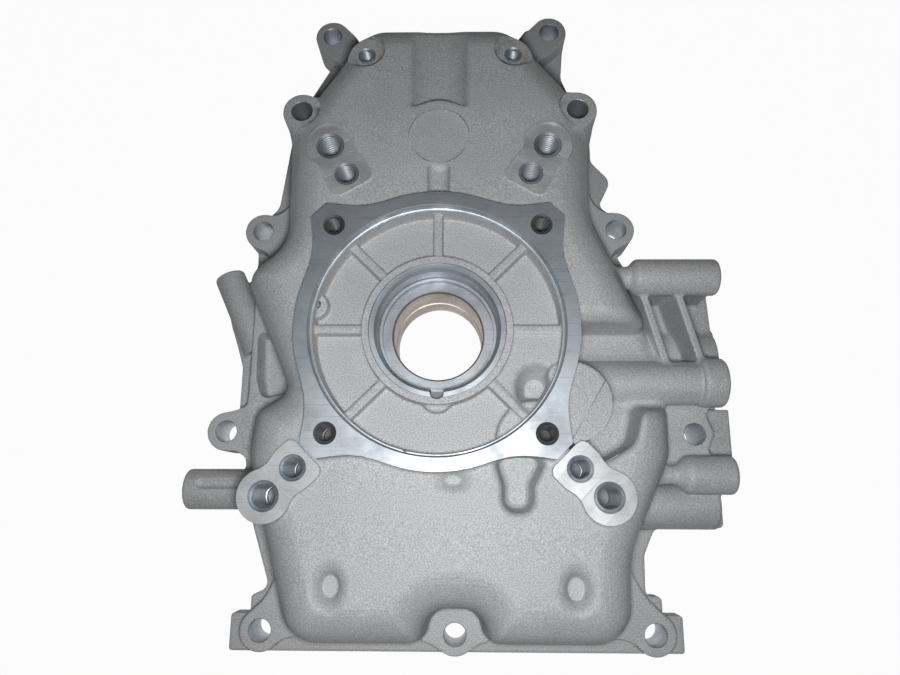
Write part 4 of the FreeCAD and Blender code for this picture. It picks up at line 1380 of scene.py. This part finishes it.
def tool_mark_group(centres):
    """Node group: fine rings about the nearest of several hole centres."""
    tree, entry, leave = new_group("tool marks", ("Height",), "Pitch", 0.0004)
    flat = tree.nodes.new("ShaderNodeVectorMath")
    flat.operation = "MULTIPLY"
    flat.inputs[1].default_value = (1.0, 1.0, 0.0)
    tree.links.new(entry["Vector"], flat.inputs[0])
    nearest = None
    for x, y in centres:
        away = tree.nodes.new("ShaderNodeVectorMath")
        away.operation = "DISTANCE"
        away.inputs[1].default_value = (x * MM, y * MM, 0.0)
        tree.links.new(flat.outputs["Vector"], away.inputs[0])
        here = away.outputs["Value"]
        nearest = here if nearest is None else math_node(tree, "MINIMUM", nearest, here)
    turns = math_node(tree, "DIVIDE", nearest, entry["Pitch"])
    wave = math_node(tree, "SINE", math_node(tree, "MULTIPLY", turns, 2 * pi))
    tree.links.new(wave, leave["Height"])
    return tree


def strip_shade_group():
    """Node group: strips that a cutter leaves across a pad, told apart by the way out to it; its mask marks
    every other strip, which the pad material paints darker as painted shade and also makes rougher.
    """
    tree, entry, leave = new_group("milling strips", ("Strip",))
    furthest = None
    for angle in UPPER_ANGLES + LOWER_ANGLES:
        out = tree.nodes.new("ShaderNodeVectorMath")
        out.operation = "DOT_PRODUCT"
        out.inputs[1].default_value = (*polar(1.0, angle), 0.0)
        tree.links.new(entry["Vector"], out.inputs[0])
        here = out.outputs["Value"]
        furthest = here if furthest is None else math_node(tree, "MAXIMUM", furthest, here)
    total = None
    for number, place in enumerate(PAD_LINES):
        step = math_node(tree, "GREATER_THAN", furthest, (INNER_CIRCLE_R + place) * MM)
        step = math_node(tree, "MULTIPLY", step, 1.0 if number % 2 == 0 else -1.0)
        total = step if total is None else math_node(tree, "ADD", total, step)
    tree.links.new(total, leave["Strip"])
    return tree


def machined_material(name, scuffs, marks, pitch, depth, roughness, tint, metallic=0.7, strips_and_shade=None):
    made, tree, shader = new_material(name)
    place = tree.nodes.new("ShaderNodeTexCoord").outputs["Object"]
    effect = use_group(tree, scuffs, place)
    base = tuple(part * colour for part, colour in zip(colours().machined[:3], tint)) + (1.0,)
    blotch = ranged(tree, effect.outputs["Blotch"], 0.35, 0.65, 0.0, 1.0)
    colour = mixed(tree, blotch, shade(base, 0.72), shade(base, 1.12))
    scratch = math_node(tree, "MULTIPLY", effect.outputs["Scratch"], 0.4)
    colour = mixed(tree, scratch, colour, shade(base, 0.5))
    rough = ranged(tree, effect.outputs["Blotch"], 0.3, 0.7, roughness + 0.08, roughness - 0.04)
    if strips_and_shade:
        strip_and_shade = use_group(tree, strips_and_shade, place).outputs["Strip"]
        # Every other milling strip is painted darker: painted shade standing in for that pass's duller
        # reflection. The same strips are also made rougher.
        colour = mixed(tree, math_node(tree, "MULTIPLY", strip_and_shade, 0.3), colour, shade(base, 0.5))
        rough = math_node(tree, "ADD", rough, math_node(tree, "MULTIPLY", strip_and_shade, 0.08))
    tree.links.new(colour, shader.inputs["Base Color"])
    tree.links.new(rough, shader.inputs["Roughness"])
    shader.inputs["Metallic"].default_value = metallic
    rings = use_group(tree, marks, place)
    rings.inputs["Pitch"].default_value = pitch
    bump = tree.nodes.new("ShaderNodeBump")
    bump.inputs["Strength"].default_value = 1.0
    bump.inputs["Distance"].default_value = depth
    tree.links.new(rings.outputs["Height"], bump.inputs["Height"])
    tree.links.new(bump.outputs["Normal"], shader.inputs["Normal"])
    return made


class COVER_OT_casting(bpy.types.Operator):
    """Shape the casting, cut its machined faces and holes, and finish its surfaces"""

    bl_idname = "cover.casting"
    bl_label = "Casting"

    def execute(self, context):
        block = outer_casting()
        hollow = cavity_form()
        block.field = common(block.field, -hollow.field, 0.8)
        block.field = np.maximum(block.field, -block.axes[2].reshape(1, 1, -1))
        cast = cast_material(grain_group())
        scuffs = scuff_group()
        rings = tool_mark_group([(0.0, 0.0)])
        turned = machined_material("turned_face", scuffs, rings, 0.0005, 0.000004, 0.46, (0.9, 0.95, 1.0))
        milled = machined_material(
            "milled_pad", scuffs, rings, 0.0006, 0.00001, 0.36, (1.3, 1.3, 1.3), 0.38, strip_shade_group())
        # Holes get a copy of the machined metal at 0.4 of its colour: painted shade for the inside of the
        # drilled and tapped holes.
        drilled_painted_shade = machined_material("drilled_hole_painted_shade", scuffs, rings, 0.0006, 0.00001, 0.5, (0.4, 0.4, 0.4))
        bored = machined_material("bearing_bore", scuffs, rings, 0.0008, 0.00001, 0.4, (0.78, 0.66, 0.55))
        made = block.mesh("casting")
        made.materials.append(cast)
        casting = bpy.data.objects.new("casting", made)
        context.scene.collection.objects.link(casting)
        thin(casting, sizes().triangle_goal)
        cut_with(casting, machining_tools(cast, turned, milled, drilled_painted_shade, bored))
        if not casting.data.polygons:
            raise RuntimeError("the machining cuts left no casting")
        names = [material.name for material in casting.data.materials]
        smooth_normals(casting, block, [names.index(cast.name)])
        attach(casting, "root")
        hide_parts(NODE)
        return {"FINISHED"}


class COVER_OT_stage(bpy.types.Operator):
    """Set up the floor, the lights and the camera"""

    bl_idname = "cover.stage"
    bl_label = "Stage"

    def execute(self, context):
        values = stage_values()
        scene = context.scene
        half = 3.0
        mesh = bpy.data.meshes.new("floor")
        mesh.from_pydata([(-half, -half, 0.0), (half, -half, 0.0), (half, half, 0.0), (-half, half, 0.0)],
                         [], [(0, 1, 2, 3)])
        floor = bpy.data.objects.new("floor", mesh)
        scene.collection.objects.link(floor)
        mesh.materials.append(white_floor())
        light_world(scene, values.world_strength)
        add_area(scene, "key", (0.014, -0.081, 0.318), (0.0, -0.03, 0.03), 0.05, values.key_power)
        camera = bpy.data.objects.new("camera", bpy.data.cameras.new("camera"))
        camera.data.lens = values.lens
        camera.data.sensor_width = 36.0
        camera.data.clip_start = 0.01
        camera.location = values.camera_place
        camera.rotation_euler = values.camera_turn
        scene.collection.objects.link(camera)
        scene.camera = camera
        scene.view_settings.view_transform = "Standard"
        return {"FINISHED"}


def white_floor():
    """Pale floor that the camera and the metal see as plain white, with the part's shadow on it."""
    made, tree, shader = new_material("pale_floor")
    shader.inputs["Base Color"].default_value = tuple(colours().floor)
    shader.inputs["Roughness"].default_value = 0.9
    rays = tree.nodes.new("ShaderNodeLightPath")
    seen = math_node(tree, "MAXIMUM", rays.outputs["Is Camera Ray"], rays.outputs["Is Glossy Ray"])
    seen = math_node(tree, "MAXIMUM", seen, rays.outputs["Is Transmission Ray"])
    shine = tree.nodes.new("ShaderNodeEmission")
    mix = tree.nodes.new("ShaderNodeMixShader")
    tree.links.new(math_node(tree, "MULTIPLY", seen, 0.97), mix.inputs["Fac"])
    tree.links.new(shader.outputs["BSDF"], mix.inputs[1])
    tree.links.new(shine.outputs["Emission"], mix.inputs[2])
    output = [node for node in tree.nodes if node.type == "OUTPUT_MATERIAL"][0]
    tree.links.new(mix.outputs["Shader"], output.inputs["Surface"])
    return made


def light_world(scene, strength):
    world = bpy.data.worlds.new("surroundings")
    scene.world = world
    world.use_nodes = True
    tree = world.node_tree
    shine = tree.nodes["Background"]
    shine.inputs["Color"].default_value = tuple(colours().floor)
    shine.inputs["Strength"].default_value = strength


def add_area(scene, name, place, target, size, power):
    data = bpy.data.lights.new(name, "AREA")
    data.shape = "DISK"
    data.size = size
    data.energy = power
    lamp = bpy.data.objects.new(name, data)
    lamp.location = place
    lamp.rotation_euler = (Vector(target) - Vector(place)).to_track_quat("-Z", "Y").to_euler()
    scene.collection.objects.link(lamp)


class COVER_PT_panel(bpy.types.Panel):
    """Shows the sizes, colours and stage settings, with buttons for the two operators."""

    bl_idname = "COVER_PT_panel"
    bl_label = "Crankcase cover"
    bl_space_type = "VIEW_3D"
    bl_region_type = "UI"
    bl_category = "Cover"

    def draw(self, context):
        for group in (sizes(), colours(), stage_values()):
            for name in group.bl_rna.properties.keys():
                if name not in {"rna_type", "name"}:
                    self.layout.prop(group, name)
        for operator in (COVER_OT_casting, COVER_OT_stage):
            self.layout.operator(operator.bl_idname)


CLASSES = (CoverSizes, CoverColours, CoverStage, COVER_OT_casting, COVER_OT_stage, COVER_PT_panel)


def register():
    for item in CLASSES:
        bpy.utils.register_class(item)
    bpy.types.Scene.cover_sizes = bpy.props.PointerProperty(type=CoverSizes)
    bpy.types.Scene.cover_colours = bpy.props.PointerProperty(type=CoverColours)
    bpy.types.Scene.cover_stage = bpy.props.PointerProperty(type=CoverStage)


def unregister():
    del bpy.types.Scene.cover_stage
    del bpy.types.Scene.cover_colours
    del bpy.types.Scene.cover_sizes
    for item in reversed(CLASSES):
        bpy.utils.unregister_class(item)


def main():
    register()
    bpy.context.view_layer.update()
    bpy.ops.cover.casting()
    bpy.ops.cover.stage()


if __name__ == "__main__":
    main()
